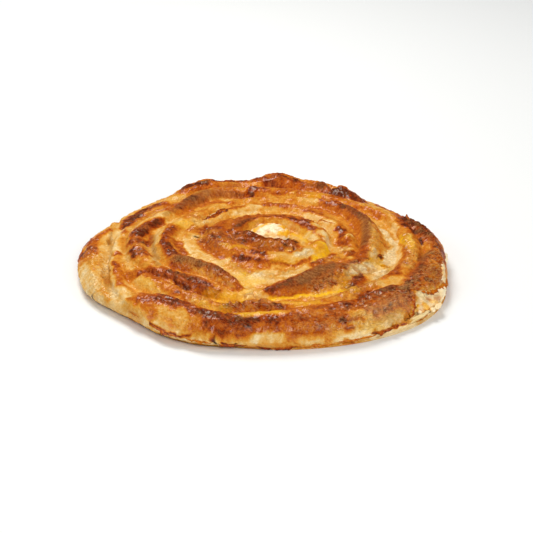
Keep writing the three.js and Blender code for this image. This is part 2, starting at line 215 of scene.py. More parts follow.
# Distance of the side from the middle: the bulge, drawn in to the foot with the square of the way
# down, and the bottom sheet of pastry standing out
def sideDistance(angle, height):
    bulge, foot = outlineAt(angle)[:2]
    wall = bulge + (foot - bulge) * (1 - height / pie["bulgeHeight"]) ** 2
    return wall + pie["leafReach"] * (height <= pie["leafThickness"])


latticeSize = 256  # a random field draws this many values, and a shuffle deals them to a lattice
noiseSwing = 1.7  # brings the soft noise to about -1 to 1
domes = dict(places=(0.15, 0.85), radii=(0.35, 0.75))  # of the blisters, in a cell of their lattice


# Number of the random value at each corner of the lattice
def latticePick(shuffle, corner):
    pick = 0
    for column in corner.T:
        pick = shuffle[(pick + column) % latticeSize]
    return pick


# Random field between about -1 and 1: random slopes at the corners of a lattice, blended by
# 6t^5 - 15t^4 + 10t^3
def softNoise(points, size, seed):
    rng = np.random.default_rng(seed)
    shuffle = rng.permutation(latticeSize)
    slopes = rng.normal(size=(latticeSize, 3))
    slopes /= np.linalg.norm(slopes, axis=1, keepdims=True)
    place = points / size
    cell = np.floor(place).astype(int)
    inside = place - cell
    ease = inside**3 * (inside * (inside * 6 - 15) + 10)
    total = np.zeros(len(points))
    for corner in np.ndindex(2, 2, 2):
        slope = slopes[latticePick(shuffle, cell + corner)]
        weight = np.where(np.array(corner) == 1, ease, 1 - ease).prod(axis=1)
        total += weight * (slope * (inside - corner)).sum(axis=1)
    return total * noiseSwing


# Random shift of every point: a soft field for each direction, with seeds in a row
def drift(points, size, seed):
    return np.column_stack([softNoise(points, size, seed + k) for k in range(3)])


# The soft field laid along the rope, with one length along it and another across: the number of
# lattice steps round the pie is a power of two that grows with the distance, blended in between
def coilNoise(points, along, across, seed, innermost=8):
    x, y, z = points.T
    distance = np.maximum(np.hypot(x, y), 1)
    level = np.log2(np.maximum(distance, innermost) / along)
    share = level - np.floor(level)
    total = np.zeros(len(points))
    for more, weight in ((0, 1 - share), (1, share)):
        count = 2.0 ** (np.floor(level) + more)
        place = np.column_stack([x / distance * count, y / distance * count, (distance - z) / across])
        total += weight * softNoise(place, 1, seed)
    return total / np.hypot(share, 1 - share)


# Domes round random places, one to a cell of a lattice: height is the root of 1 - (off / radius)^2
def blisters(points, size, seed):
    rng = np.random.default_rng(seed)
    shuffle = rng.permutation(latticeSize)
    places = rng.uniform(*domes["places"], (latticeSize, 3))
    radii = rng.uniform(*domes["radii"], latticeSize)
    place = points / size
    cell = np.floor(place).astype(int)
    height = np.zeros(len(points))
    for corner in np.ndindex(3, 3, 3):
        corners = cell + corner - 1
        pick = latticePick(shuffle, corners)
        off = np.linalg.norm(place - corners - places[pick], axis=1) / radii[pick]
        height = np.maximum(height, np.sqrt(np.maximum(1 - off**2, 0)) * radii[pick])
    return height


# Two triangles for every cell of a grid, whose corners a, b, c and d go round it
def cellFaces(a, b, c, d):
    return [np.stack([a, b, c], -1).reshape(-1, 3), np.stack([a, c, d], -1).reshape(-1, 3)]


# Triangles from one middle point to a ring of points
def fan(middle, ring):
    return np.column_stack([np.full(len(ring), middle), ring, np.roll(ring, -1)])


# Several meshes as one: points below each other, and faces that count on from mesh to mesh
def joined(parts):
    starts = np.cumsum([0] + [len(points) for points, faces in parts[:-1]])
    return (
        np.vstack([points for points, faces in parts]),
        np.vstack([faces + start for (points, faces), start in zip(parts, starts)]),
    )


# Outward direction at every point of a closed triangle mesh: sum of the directions of its faces
def outward(points, faces):
    a, b, c = (points[faces[:, k]] for k in range(3))
    tilt = np.cross(b - a, c - a)
    sums = np.zeros_like(points)
    for k in range(3):
        for axis in range(3):
            sums[:, axis] += np.bincount(faces[:, k], tilt[:, axis], len(points))
    return sums / np.maximum(np.linalg.norm(sums, axis=1, keepdims=True), 1e-9)


def addMesh(name, points, faces, material):
    data = bpy.data.meshes.new(name)
    data.vertices.add(len(points))
    data.vertices.foreach_set("co", (points * mm).astype(np.float32).ravel())
    data.loops.add(faces.size)
    data.loops.foreach_set("vertex_index", faces.astype(np.int32).ravel())
    data.polygons.add(len(faces))
    data.polygons.foreach_set("loop_start", np.arange(0, faces.size, faces.shape[1], dtype=np.int32))
    data.update(calc_edges=True)
    data.validate()
    data.shade_smooth()
    data.materials.append(material)
    piece = bpy.data.objects.new(name, data)
    bpy.context.scene.collection.objects.link(piece)
    return piece


def addField(piece, name, values):
    field = piece.data.attributes.new(name, "FLOAT", "POINT")
    field.data.foreach_set("value", values.astype(np.float32))


# Coordinates laid along the rope, for the fine wrinkles: direction from the middle times a radius,
# turned with the distance less height, and that distance less height
grain = dict(radius=80, innermost=14, twist=0.6)


def addGrain(piece, points):
    x, y, z = points.T
    distance = np.hypot(x, y)
    turn = grain["twist"] * (distance - z) / grain["radius"]
    place = np.column_stack([*turned(x, y, -turn), distance - z])
    place[:, :2] *= (grain["radius"] / np.maximum(distance, grain["innermost"]))[:, None]
    field = piece.data.attributes.new("grain", "FLOAT_VECTOR", "POINT")
    field.data.foreach_set("vector", (place * mm).astype(np.float32).ravel())


# Where the camera stands: it looks at the target from the front, this far up. A line of sight is
# followed from a height above the crown down to one just over the floor.
view = dict(
    target=(3.4, 0, -3), distance=1200, elevation=26.1, focal=1498, side=533, sensor=36,
    sightAbove=8, sightFloor=0.1, sightSteps=420,
)


def viewAxes():
    up = np.radians(view["elevation"])
    forward = np.array([0, np.cos(up), -np.sin(up)])
    upward = np.array([0, np.sin(up), np.cos(up)])
    return forward, upward, np.array(view["target"]) - forward * view["distance"]


# The lumps of curd that show: centre, half sizes, turn in degrees, and how square the lump is
curds = dict(
    middle=dict(at=(6.4, 6, 21), half=(17, 14, 9), turn=-10, square=2.2),
    burst=dict(at=(123, -76, 7.1), half=(11, 25, 5.9), turn=-31, square=2.7),
    peep=dict(at=(140, -13.5, 9), half=(6.6, 11, 5), turn=-5, square=3),
)


def inCurd(points):
    inside = np.zeros(len(points), bool)
    for lump in curds.values():
        x, y, z = (points - lump["at"]).T
        own = np.stack([*turned(x, y, -np.radians(lump["turn"])), z])
        inside |= (abs(own / np.array(lump["half"])[:, None]) ** lump["square"]).sum(axis=0) < 1
    return inside


# Points on the pie under pixels of the photograph: each line of sight is followed down in small
# steps to the first one that is inside the pie
def underPixels(pixels):
    forward, upward, eye = viewAxes()
    pixels = np.asarray(pixels, float)
    off = (pixels - view["side"] / 2) / view["focal"]
    sight = forward + off[:, :1] * np.array([1, 0, 0]) - off[:, 1:] * upward
    heights = np.linspace(pie["crownHeight"] + view["sightAbove"], view["sightFloor"], view["sightSteps"])
    reach = (heights[None, :] - eye[2]) / sight[:, 2:3]
    path = eye + reach[:, :, None] * sight[:, None, :]
    x, y, z = path.reshape(-1, 3).T
    angle, distance = polar(x, y)
    bulge = outlineAt(angle)[0]
    inTop = (distance < bulge) & (z < topHeight(x, y))
    inSide = (z < pie["bulgeHeight"]) & (distance < sideDistance(angle, z))
    inside = (inTop | inSide | inCurd(path.reshape(-1, 3))).reshape(len(pixels), len(heights))
    first = np.where(inside.any(axis=1), inside.argmax(axis=1), len(heights) - 1)
    return path[np.arange(len(pixels)), first]


# A square grid laid on a disc: each square ring becomes a round one, its places turned by up to an
# eighth of a turn from the middle of a side
def discGrid(cells):
    line = np.linspace(-1, 1, cells + 1)
    s, t = np.meshgrid(line, line, indexing="ij")
    onSide = abs(s) > abs(t)
    ring, other = np.where(onSide, (s, t), (t, s))
    turn = np.pi / 4 * other / np.where(ring == 0, 1, ring)
    x = ring * np.where(onSide, np.cos(turn), np.sin(turn))
    y = ring * np.where(onSide, np.sin(turn), np.cos(turn))
    return x.ravel(), y.ravel()


# The skin's grid: cells across the disc, and rows down the side, of which the last stands a little
# over the bottom sheet. The top's height is read just inside the outline.
skinMesh = dict(cells=284, sideRows=14, overSheet=1.15, justInside=0.99999)


# The pie's skin: the grid on a disc, widened to the outline and lifted to the top's height, then the
# side as rows round the rim down to the bottom sheet, and a flat underside
def pastrySkin():
    x, y = discGrid(skinMesh["cells"])
    bulge = outlineAt(polar(x, y)[0])[0]
    x, y = x * bulge, y * bulge
    height = topHeight(x * skinMesh["justInside"], y * skinMesh["justInside"])
    top = np.column_stack([x, y, height])
    number = np.arange(len(top)).reshape(skinMesh["cells"] + 1, -1)
    rim = np.concatenate([number[:-1, 0], number[-1, :-1], number[:0:-1, -1], number[0, :0:-1]])
    faces = cellFaces(number[:-1, :-1], number[1:, :-1], number[1:, 1:], number[:-1, 1:])
    top[rim, 2] = pie["bulgeHeight"]
    rimAngle = polar(top[rim, 0], top[rim, 1])[0]
    sheet = pie["leafThickness"]
    levels = np.linspace(pie["bulgeHeight"], sheet * skinMesh["overSheet"], skinMesh["sideRows"])[1:]
    points = [top]
    above, count = rim, len(top)
    for level in [*levels, sheet, sheet / 2, 0]:
        height = np.full(len(rim), level)
        x, y = turned(sideDistance(rimAngle, height), 0, np.radians(rimAngle))
        points.append(np.column_stack([x, y, height]))
        below = count + np.arange(len(rim))
        faces += cellFaces(above, below, np.roll(below, -1), np.roll(above, -1))
        above, count = below, count + len(rim)
    points.append([[0, 0, 0]])
    faces.append(fan(count, above[::-1]))
    return np.vstack(points), np.vstack(faces)


# Distance of every point from a path, a chain of straight pieces
def distanceToPath(points, path):
    nearest = np.full(len(points), np.inf)
    for start, end in zip(path[:-1], path[1:]):
        along = end - start
        t = np.clip((points - start) @ along / max(along @ along, 1e-9), 0, 1)
        nearest = np.minimum(nearest, np.linalg.norm(points - start - t[:, None] * along, axis=1))
    return nearest


brush = dict(reach=1.55, fade=1.1)  # how far a stroke reaches and fades, in half widths


# Lays strokes over a field: full close to the path, gone at the brush's reach. A stroke covers what
# is below it, or keeps the higher value of the two, or is added.
def paint(field, points, strokes, how="cover"):
    paths = underPixels([pixel for stroke in strokes for pixel in stroke[2]])
    first = 0
    for value, halfWidth, pixels in strokes:
        path = paths[first:first + len(pixels)]
        first += len(pixels)
        reach = brush["reach"] * halfWidth
        near = ((points > path.min(axis=0) - reach) & (points < path.max(axis=0) + reach)).all(axis=1)
        off = distanceToPath(points[near], path) / halfWidth
        cover = np.clip((brush["reach"] - off) / brush["fade"], 0, 1)
        cover = cover * cover * (3 - 2 * cover)
        if how == "cover":
            field[near] += (value - field[near]) * cover
        elif how == "keep":
            field[near] = np.maximum(field[near], value * cover)
        else:
            field[near] += value * cover
    return field


# Browning painted on the baked skin, part by part, with a few strokes of painted light among it. Each
# stroke: how brown (0 cream to 1 nearly black), half width in millimetres, and the pixels of the photograph
# that it runs through.
browningAndPaintedLight = dict(
    looseEnd=[  # of the rope, at the left
        (0.45, 6, [(100, 233), (98, 240), (101, 246)]),
        (0.8, 4.5, [(79, 259), (82, 250), (88, 243), (95, 235), (103, 228), (110, 225)]),
        (0.72, 6, [(86, 253), (91, 248), (97, 245), (98, 251)]),
        (0.88, 3, [(81, 256), (85, 252), (92, 249)]),
        (0.5, 5, [(84, 262), (91, 262), (98, 260)]),
        (0.3, 5, [(106, 234), (106, 244)]),
        (0.2, 5, [(105, 248), (104, 256), (103, 264), (101, 272)]),
        (0.4, 2.4, [(96, 256), (94, 266), (92, 276)]),
        (0.42, 2, [(101, 259), (99, 268), (97, 280)]),
        (0.22, 7, [(82, 270), (88, 272), (96, 270)]),
        (0.42, 3, [(91, 265), (94, 273), (95, 279)]),
        (0.16, 9, [(84, 276), (89, 286), (96, 293), (104, 299), (113, 304)]),
        (0.4, 3.5, [(103, 290), (108, 296), (107, 300)]),
        (0.3, 3, [(106, 283), (111, 287)]),
        (0.12, 5, [(117, 233), (116, 240), (115, 247)]),
        (0.25, 4, [(121, 222), (120, 228), (122, 240), (123, 248)]),
        (0.12, 5, [(113, 286), (117, 294), (122, 302), (128, 309)]),
    ],
    outerTurnLeft=[  # golden, beside the loose end
        (0.16, 6, [(119, 232), (119, 242), (118, 250)]),
        (0.26, 4, [(124, 240), (126, 248), (127, 254)]),
        (0.5, 5.5, [(119, 256), (120, 264), (122, 276), (126, 288), (131, 297)]),
        (0.2, 2, [(111, 258), (112, 268), (113, 278), (117, 288), (122, 297)]),
        (0.62, 3, [(118, 271), (119, 278), (119, 285)]),
        (0.74, 2.6, [(114, 262), (116, 267), (117, 271)]),
        (0.7, 2.6, [(115, 255), (119, 253)]),
        (0.68, 2, [(124, 285), (127, 290)]),
        (0.24, 3, [(124, 257), (128, 262), (131, 267)]),
        (0.12, 5, [(121, 290), (126, 300), (133, 309), (141, 317)]),
        (0.6, 2, [(128, 299), (133, 304), (136, 308)]),
        (0.95, 1, [(130, 298), (133, 300)]),
    ],
    rearLeftRidge=[  # dark and glossy, with the cream below it
        (0.68, 5, [(160, 204), (168, 205), (174, 205)]),
        (0.93, 6, [(127, 226), (130, 220), (135, 216), (141, 213), (148, 209), (156, 206)]),
        (1.0, 3, [(131, 219), (136, 218), (141, 216)]),
        (0.7, 3, [(126, 229), (124, 234)]),
        (0.55, 4, [(140, 219), (148, 215), (157, 211), (165, 209)]),
        (0.2, 4, [(131, 230), (138, 227), (144, 223), (151, 219), (158, 216), (166, 213)]),
    ],
    rearRim=[
        (0.28, 4, [(170, 199), (177, 198), (185, 197)]),
        (0.48, 5, [(190, 195), (200, 192), (212, 190), (224, 190), (236, 190), (248, 190)]),
        (0.72, 4, [(180, 192), (188, 190), (196, 188), (205, 187), (215, 186)]),
        (0.95, 4, [(178, 190), (184, 188), (191, 185), (198, 183), (205, 182)]),
        (0.88, 2.5, [(205, 180), (216, 180), (230, 181), (247, 181)]),
        (0.6, 4, [(215, 185), (228, 186), (240, 186), (248, 184)]),
        (0.78, 6, [(253, 182), (262, 180), (272, 178), (282, 178), (290, 181)]),
        (0.92, 2.5, [(257, 178), (267, 174), (280, 173), (291, 177), (301, 181)]),
        (0.5, 3, [(252, 184), (258, 184)]),
        (0.9, 3, [(270, 184), (275, 184)]),
        (0.9, 3, [(252, 189), (257, 188)]),
        (0.93, 3.5, [(296, 183), (304, 184), (312, 184)]),
        (0.7, 5, [(278, 186), (288, 187), (298, 187), (308, 187)]),
        (0.9, 2.2, [(257, 190), (265, 190), (272, 192), (280, 193), (289, 191)]),
        (0.48, 5, [(262, 197), (273, 197), (285, 199), (296, 196)]),
        (0.3, 3, [(300, 198), (310, 200), (320, 203)]),
        (0.55, 5, [(300, 192), (312, 194), (322, 195)]),
        (0.85, 5, [(315, 185), (321, 184), (327, 186), (334, 189)]),
        (0.95, 3, [(322, 187), (328, 189), (334, 190)]),
        (0.66, 2.5, [(311, 188), (314, 189)]),
        (0.8, 5, [(324, 191), (332, 194), (340, 198)]),
        (1.0, 6, [(339, 191), (346, 192), (353, 195), (360, 198)]),
        (0.6, 3, [(338, 199), (346, 201), (354, 204)]),
        (0.85, 4, [(356, 196), (364, 201)]),
        (0.45, 6, [(364, 204), (374, 209), (384, 213), (392, 217)]),
        (0.74, 3, [(364, 200), (372, 202), (380, 207), (390, 211), (400, 214), (407, 218)]),
        (0.68, 3, [(357, 207), (366, 210), (374, 212), (382, 216)]),
        (0.45, 3, [(361, 211), (368, 215)]),
        (0.62, 4, [(374, 216), (382, 218)]),
    ],
    rightRim=[
        (0.8, 5, [(397, 215), (403, 220), (409, 227), (414, 233)]),
        (0.96, 6, [(407, 219), (412, 221), (418, 225), (424, 229), (430, 236)]),
        (1.0, 2.5, [(404, 224), (410, 229), (417, 233)]),
        (0.85, 6, [(430, 239), (436, 244), (440, 249), (443, 254)]),
        (0.6, 6, [(414, 239), (420, 243), (425, 247), (417, 254), (413, 260)]),
        (0.46, 2.4, [(416, 245), (423, 248), (429, 248)]),
        (0.95, 1.6, [(420, 239), (422, 244)]),
        (0.97, 3, [(435, 247), (438, 249)]),
        (0.78, 9, [(438, 256), (430, 259), (424, 264), (418, 270), (412, 276)]),
        (0.7, 3, [(434, 252), (440, 258)]),
        (0.66, 5, [(434, 263), (430, 270), (434, 275), (425, 277)]),
        (0.86, 1.8, [(424, 260), (420, 268), (414, 274)]),
        (0.75, 4, [(443, 262), (440, 270), (438, 276)]),
    ],
    rightFront=[  # crest and face
        (0.82, 12, [
            (428, 283), (414, 292), (398, 298), (382, 303), (366, 309), (350, 314), (334, 317), (318, 319),
        ]),
        (0.9, 4.5, [
            (420, 278), (411, 282), (404, 287), (396, 288), (386, 289), (377, 291), (369, 293), (361, 298),
        ]),
        (0.88, 3.5, [(361, 298), (353, 304), (345, 306), (335, 308), (325, 310), (314, 311)]),
        (0.62, 4, [(442, 284), (434, 288), (422, 290)]),
        (0.66, 4, [(424, 281), (434, 280), (440, 285)]),
        (0.85, 1.4, [(416, 283), (424, 279), (433, 280)]),
        (0.56, 5, [(417, 296), (413, 303), (411, 311), (407, 318)]),
        (0.45, 3.5, [(424, 292), (432, 291), (440, 289), (445, 285)]),
        (0.04, 5, [(433, 297), (440, 295), (445, 291), (443, 300)]),
        (0.06, 6, [(424, 302), (432, 306), (427, 312), (420, 315)]),
        (0.1, 3, [(412, 321), (420, 319), (428, 316), (434, 311)]),
        (0.74, 9, [(330, 322), (345, 320), (360, 316), (375, 312), (390, 308), (402, 304)]),
        (0.4, 5, [(330, 332), (345, 330), (360, 328), (375, 324), (390, 320), (402, 315)]),
        (0.44, 3, [(352, 314), (362, 313), (368, 317)]),
        (0.95, 2, [(341, 319), (345, 321)]),
        (0.85, 2, [(338, 328), (346, 329), (352, 329)]),
        (0.2, 3, [(350, 335), (360, 332), (370, 329), (380, 326), (392, 322), (402, 318)]),
        (0.3, 4, [(334, 333), (342, 335)]),
        # Painted light: the pale foot made paler still, where light thrown up from the floor falls on the
        # lower side
        (0.02, 4, [
            (338, 338), (350, 337), (362, 336), (374, 336), (386, 334), (396, 331), (406, 328), (414, 325),
        ]),
        (0.9, 1.4, [(372, 333), (380, 332), (388, 329), (393, 327)]),
        (0.8, 1.3, [(395, 327), (403, 325), (411, 322)]),
        (0.7, 1.8, [(345, 341), (353, 341)]),
        (0.9, 2.4, [(412, 299), (410, 294), (408, 290)]),
    ],
    frontFace=[  # dark, with the pale foot below it
        (0.6, 6, [(196, 330), (212, 334), (228, 337), (240, 336)]),
        (0.55, 7, [(288, 334), (304, 336), (318, 334), (332, 330)]),
        (0.78, 6, [
            (203, 326), (222, 329), (242, 331), (252, 332), (262, 329), (282, 328), (300, 328), (318, 327),
        ]),
        (0.79, 8, [(200, 319), (214, 321), (230, 323), (245, 325), (258, 324)]),
        (0.67, 8, [(264, 325), (276, 325), (288, 325), (302, 325)]),
        (0.94, 4.5, [(194, 311), (203, 312), (212, 314), (223, 317), (236, 318)]),
        (0.88, 4.5, [(236, 318), (250, 317), (262, 317), (275, 319)]),
        (0.93, 4, [(223, 318), (234, 320), (246, 321)]),
        (0.76, 5, [(285, 317), (296, 316), (308, 315)]),
        (0.42, 3, [(206, 337), (222, 340), (236, 341)]),
        (0.3, 2.6, [(240, 340), (248, 343)]),
        (0.16, 3.5, [(254, 340), (262, 339), (272, 339), (281, 338)]),
        (0.12, 2, [(258, 336), (268, 334), (276, 335)]),
        (0.4, 2.4, [(262, 345), (275, 346), (290, 344)]),
        (0.24, 2.8, [(301, 342), (311, 343), (322, 341)]),
        (0.2, 4, [(178, 330), (186, 332), (194, 335), (202, 338)]),
        (0.04, 5, [(146, 320), (158, 324), (168, 327), (178, 331)]),
        (0.15, 3, [(174, 338), (190, 341), (206, 343), (222, 346), (242, 348)]),
    ],
    outerTurnFront=[  # its left part
        (0.5, 8, [(138, 301), (150, 308), (164, 314), (178, 320), (190, 324)]),
        (0.34, 6, [(162, 311), (172, 308), (180, 312), (184, 319)]),
        (0.6, 4.5, [(140, 303), (146, 309), (152, 314)]),
        (0.84, 6, [(144, 297), (152, 298), (160, 298), (168, 299), (176, 303)]),
        (0.9, 2.4, [(160, 296), (168, 298), (177, 302)]),
        (0.86, 3, [(181, 302), (187, 305), (191, 309), (195, 313)]),
        (0.5, 4, [(187, 297), (196, 301), (205, 304)]),
        (0.4, 3, [
            (196, 302), (207, 306), (218, 310), (230, 312), (244, 314), (258, 313), (272, 312), (286, 312),
        ]),
    ],
    frontBumps=[  # a row of brown bumps, and the yellow valley above it
        (0.6, 4, [(228, 310), (244, 310), (260, 309), (278, 309)]),
        (0.8, 2.2, [(225, 307), (233, 306), (240, 307), (247, 305), (252, 303), (258, 306)]),
        (0.8, 2.6, [(262, 305), (268, 305), (274, 306), (282, 308)]),
        (0.5, 4, [(206, 292), (214, 296), (224, 299), (234, 301), (244, 299)]),
        (0.5, 4.5, [(268, 301), (280, 300), (292, 300), (304, 299), (316, 299), (326, 298), (336, 296)]),
        (0.24, 1.8, [
            (268, 300), (280, 299), (292, 298), (304, 296), (316, 296), (326, 294), (336, 292), (345, 290),
        ]),
        (0.44, 3, [(285, 303), (300, 304), (315, 303), (325, 302)]),
        (0.62, 3, [(324, 300), (334, 299), (346, 296), (356, 292)]),
    ],
    armsMeet=[  # folds where the two arms of the coil meet
        (0.42, 5, [(212, 294), (222, 292), (231, 296), (240, 298)]),
        (0.3, 5, [(236, 291), (244, 293), (252, 292), (258, 295), (264, 298)]),
        (0.06, 2.4, [(249, 293), (254, 295)]),
        (0.1, 1.5, [(245, 299), (249, 297), (256, 298)]),
    ],
    leftArm=[
        (0.45, 4, [(160, 240), (159, 249), (161, 258)]),
        (0.74, 5, [(176, 243), (181, 248), (185, 254)]),
        (0.82, 4, [(171, 229), (166, 234), (164, 241), (167, 249), (174, 255)]),
        (0.92, 3, [(165, 243), (170, 246)]),
        (0.93, 3, [(172, 252), (178, 255)]),
        (0.72, 4.5, [(178, 258), (186, 259), (194, 261), (202, 263)]),
        (0.74, 5, [(176, 264), (190, 266), (200, 269), (210, 273), (220, 277), (230, 281), (238, 285)]),
        (0.5, 3.5, [(196, 271), (206, 275), (216, 280), (226, 285), (234, 289)]),
        (0.86, 3, [(200, 262), (208, 265), (216, 268), (223, 272), (231, 276), (237, 280)]),
        (0.8, 2.5, [(237, 281), (239, 285), (241, 288)]),
    ],
    leftValley=[  # cream, inside the left arm
        (0.3, 5, [(178, 223), (186, 224), (193, 222), (199, 219)]),
        (0.55, 4, [(189, 229), (196, 231), (200, 226)]),
        (0.1, 2.6, [(187, 240), (188, 247), (191, 253)]),
        (0.56, 4, [(195, 239), (198, 247)]),
        (0.2, 5, [(196, 254), (205, 257), (213, 261), (221, 265), (229, 269), (237, 273)]),
        (0.12, 3, [(224, 259), (229, 260)]),
        (0.6, 3, [(232, 262), (236, 265)]),
        (0.72, 3, [(242, 264), (245, 268)]),
        (0.42, 5, [(230, 266), (237, 269), (245, 271), (250, 270)]),
        (0.16, 5, [(242, 278), (250, 280), (258, 280), (268, 280), (246, 285)]),
        (0.02, 3, [(255, 276), (262, 275), (267, 273)]),
        (0.22, 5, [(271, 273), (281, 275), (291, 274), (300, 271), (309, 267)]),
        (0.45, 2, [(277, 276), (281, 272)]),
    ],
    fourthTurn=[  # at the left
        (0.22, 4.5, [(155, 265), (153, 256), (154, 246), (157, 237), (162, 229), (170, 223), (178, 220)]),
        (0.66, 3, [(150, 234), (151, 240)]),
        (0.42, 4, [(124, 236), (122, 244), (127, 249)]),
        (0.82, 6, [(134, 240), (139, 240), (145, 243)]),
        (0.88, 5, [(136, 233), (141, 229), (147, 226), (153, 223), (160, 222)]),
        (1.0, 3.5, [(139, 234), (145, 231)]),
        (0.8, 4.5, [(132, 250), (138, 252), (144, 250), (147, 254)]),
        (0.95, 2.2, [(131, 251), (135, 256)]),
        (0.45, 4, [(140, 260), (148, 262), (154, 266)]),
        (0.66, 5, [(131, 275), (139, 273), (147, 272), (154, 276), (161, 281), (168, 285)]),
        (0.84, 2.4, [(139, 275), (146, 271), (153, 270), (158, 276)]),
        (0.26, 4, [(128, 284), (139, 282), (147, 283), (156, 288), (164, 291)]),
        (0.62, 4, [(160, 284), (169, 288), (178, 292), (187, 296)]),
        (0.96, 1.4, [(176, 292), (179, 292)]),
    ],
    ridgeUnderArm=[  # under the left arm
        (0.74, 4, [(180, 284), (189, 288), (199, 290), (209, 291), (217, 293)]),
        (0.8, 4, [
            (161, 272), (170, 273), (179, 276), (188, 278), (197, 281), (206, 283), (215, 286), (221, 288),
        ]),
        (0.92, 1.6, [(165, 271), (175, 272), (188, 277), (203, 282), (213, 286)]),
        (0.93, 3, [(180, 285), (187, 289)]),
        (0.8, 1.2, [(163, 276), (172, 280), (180, 286), (188, 291), (197, 294), (207, 297)]),
        (0.5, 3, [(204, 278), (215, 284), (226, 289)]),
    ],
    rightArm=[
        # Painted highlight: a pale patch where light glances off the arm
        (0.02, 5, [(349, 269), (359, 269), (367, 267), (375, 265)]),
        (0.4, 1.2, [(350, 264), (356, 270), (360, 273)]),
        (0.4, 1.2, [(360, 263), (366, 268), (369, 272)]),
        (0.74, 5, [(284, 288), (294, 285), (305, 284), (315, 279), (326, 275), (336, 271)]),
        (0.68, 4.5, [
            (268, 292), (275, 295), (283, 294), (293, 291), (303, 290), (313, 288), (323, 286), (333, 282),
        ]),
        (0.9, 3.5, [(269, 290), (277, 286), (285, 283), (292, 281), (299, 279)]),
        (0.76, 4.5, [(300, 280), (308, 276), (316, 271), (324, 267), (334, 266), (346, 265)]),
        (0.88, 2, [(330, 286), (334, 284)]),
        (0.52, 4, [(340, 279), (345, 283), (349, 289)]),
        (0.74, 3.4, [(367, 251), (361, 256), (353, 259), (345, 262), (338, 264)]),
        (0.9, 1.8, [(349, 263), (358, 261), (366, 259)]),
        (0.76, 5, [(366, 216), (369, 221), (368, 229), (366, 237), (366, 245), (368, 251)]),
        (0.6, 3, [(361, 222), (362, 231), (361, 240), (360, 248)]),
        (0.5, 3, [(372, 224), (373, 232), (373, 240), (372, 249)]),
        (0.84, 5, [(352, 285), (357, 283), (362, 280)]),
        (0.95, 2.2, [(355, 279), (361, 276)]),
        (0.93, 1.8, [(354, 286), (360, 289)]),
        (0.42, 4, [(372, 277), (378, 283), (372, 285)]),
        (0.34, 4, [(381, 285), (390, 284), (399, 283)]),
        (0.58, 3, [(347, 293), (358, 290), (368, 288), (380, 288)]),
        (0.6, 8, [(324, 212), (335, 212), (346, 216), (352, 224), (355, 234), (353, 243)]),
        (0.46, 4, [(345, 222), (350, 230)]),
        (0.86, 4, [(325, 205), (332, 203), (340, 203), (348, 207), (354, 211), (360, 216)]),
        (0.74, 3, [(304, 211), (311, 212)]),
        (0.28, 1.6, [(308, 218), (318, 220), (328, 222), (336, 224)]),
        (0.82, 1.2, [(325, 221), (332, 223), (337, 223)]),
        (0.22, 5, [(317, 225), (325, 229), (331, 235)]),
        (0.9, 3, [(337, 229), (343, 230), (342, 235)]),
        (0.8, 4, [(341, 242), (347, 241), (345, 246)]),
        # Painted highlight: a short pale-gold glint
        (0.24, 2, [(347, 236), (354, 239)]),
        (0.28, 3, [(343, 250), (350, 250)]),
        (0.82, 3, [(353, 253), (347, 257)]),
        (0.6, 4, [(314, 265), (323, 262), (333, 260), (343, 261)]),
        (0.78, 3, [(311, 264), (319, 260), (327, 257), (334, 255), (341, 257)]),
    ],
    rightHollow=[  # pale
        (0.1, 7, [(384, 232), (391, 238), (393, 248), (391, 258), (386, 265), (383, 273), (378, 277)]),
        (0.02, 4, [(383, 231), (390, 235)]),
        (0.02, 5, [(391, 247), (390, 254), (386, 260)]),
        (0.42, 4, [(376, 232), (375, 242), (377, 250)]),
        (0.24, 4, [(372, 256), (377, 260), (376, 252)]),
        (0.4, 3, [(380, 241), (386, 243), (390, 247), (386, 250), (380, 246)]),
        (0.45, 1.6, [(384, 222), (388, 230), (391, 236), (395, 240)]),
        (0.5, 1.6, [(391, 222), (396, 231), (400, 240), (401, 250), (398, 260)]),
        (0.35, 3, [(383, 222), (390, 222)]),
        (0.18, 3, [(393, 226), (398, 230)]),
        (0.92, 1.4, [(379, 258), (382, 257)]),
        (0.66, 2, [(384, 267), (387, 267)]),
        (0.5, 2.4, [(384, 245), (387, 247)]),
        (0.5, 5, [(402, 230), (408, 238), (411, 247), (411, 257), (408, 265), (402, 271)]),
        (0.26, 1.5, [(410, 234), (413, 243)]),
        (0.7, 3, [(404, 247), (406, 254)]),
        (0.2, 3, [(400, 249), (399, 259)]),
        (0.78, 4, [(397, 269), (392, 274), (398, 274)]),
        (0.34, 4, [(382, 283), (392, 282), (401, 278)]),
    ],
    middle=[  # arch behind the opening, lip before it, mounds round it
        (0.1, 4, [(212, 215), (222, 213), (232, 212), (244, 211), (254, 211)]),
        (0.42, 4, [(262, 210), (273, 210), (283, 210), (296, 213), (309, 217)]),
        (0.5, 4, [(250, 222), (262, 221), (275, 220)]),
        (0.36, 4, [(283, 223), (290, 226), (296, 229), (303, 233), (308, 238)]),
        (0.86, 2.6, [
            (234, 230), (239, 224), (245, 220), (253, 218), (262, 216), (272, 215), (282, 216), (292, 218),
        ]),
        (0.86, 3, [(292, 217), (300, 220), (307, 224), (313, 229)]),
        (0.25, 4, [(297, 237), (303, 242), (309, 247)]),
        (0.8, 4, [(255, 238), (263, 238), (270, 240), (278, 240), (286, 241), (294, 242)]),
        (0.72, 5, [(257, 245), (268, 245), (279, 247), (289, 247)]),
        (0.97, 3.2, [(246, 233), (251, 234), (252, 239)]),
        (0.92, 1.4, [(293, 246), (293, 250), (290, 253)]),
        (0.73, 8, [(208, 240), (216, 237), (224, 236), (231, 241), (217, 246), (209, 246)]),
        (0.8, 4, [(203, 233), (207, 229), (213, 228), (220, 228)]),
        (0.8, 5, [(238, 234), (240, 240), (246, 241)]),
        (0.94, 1.8, [(212, 234), (214, 237)]),
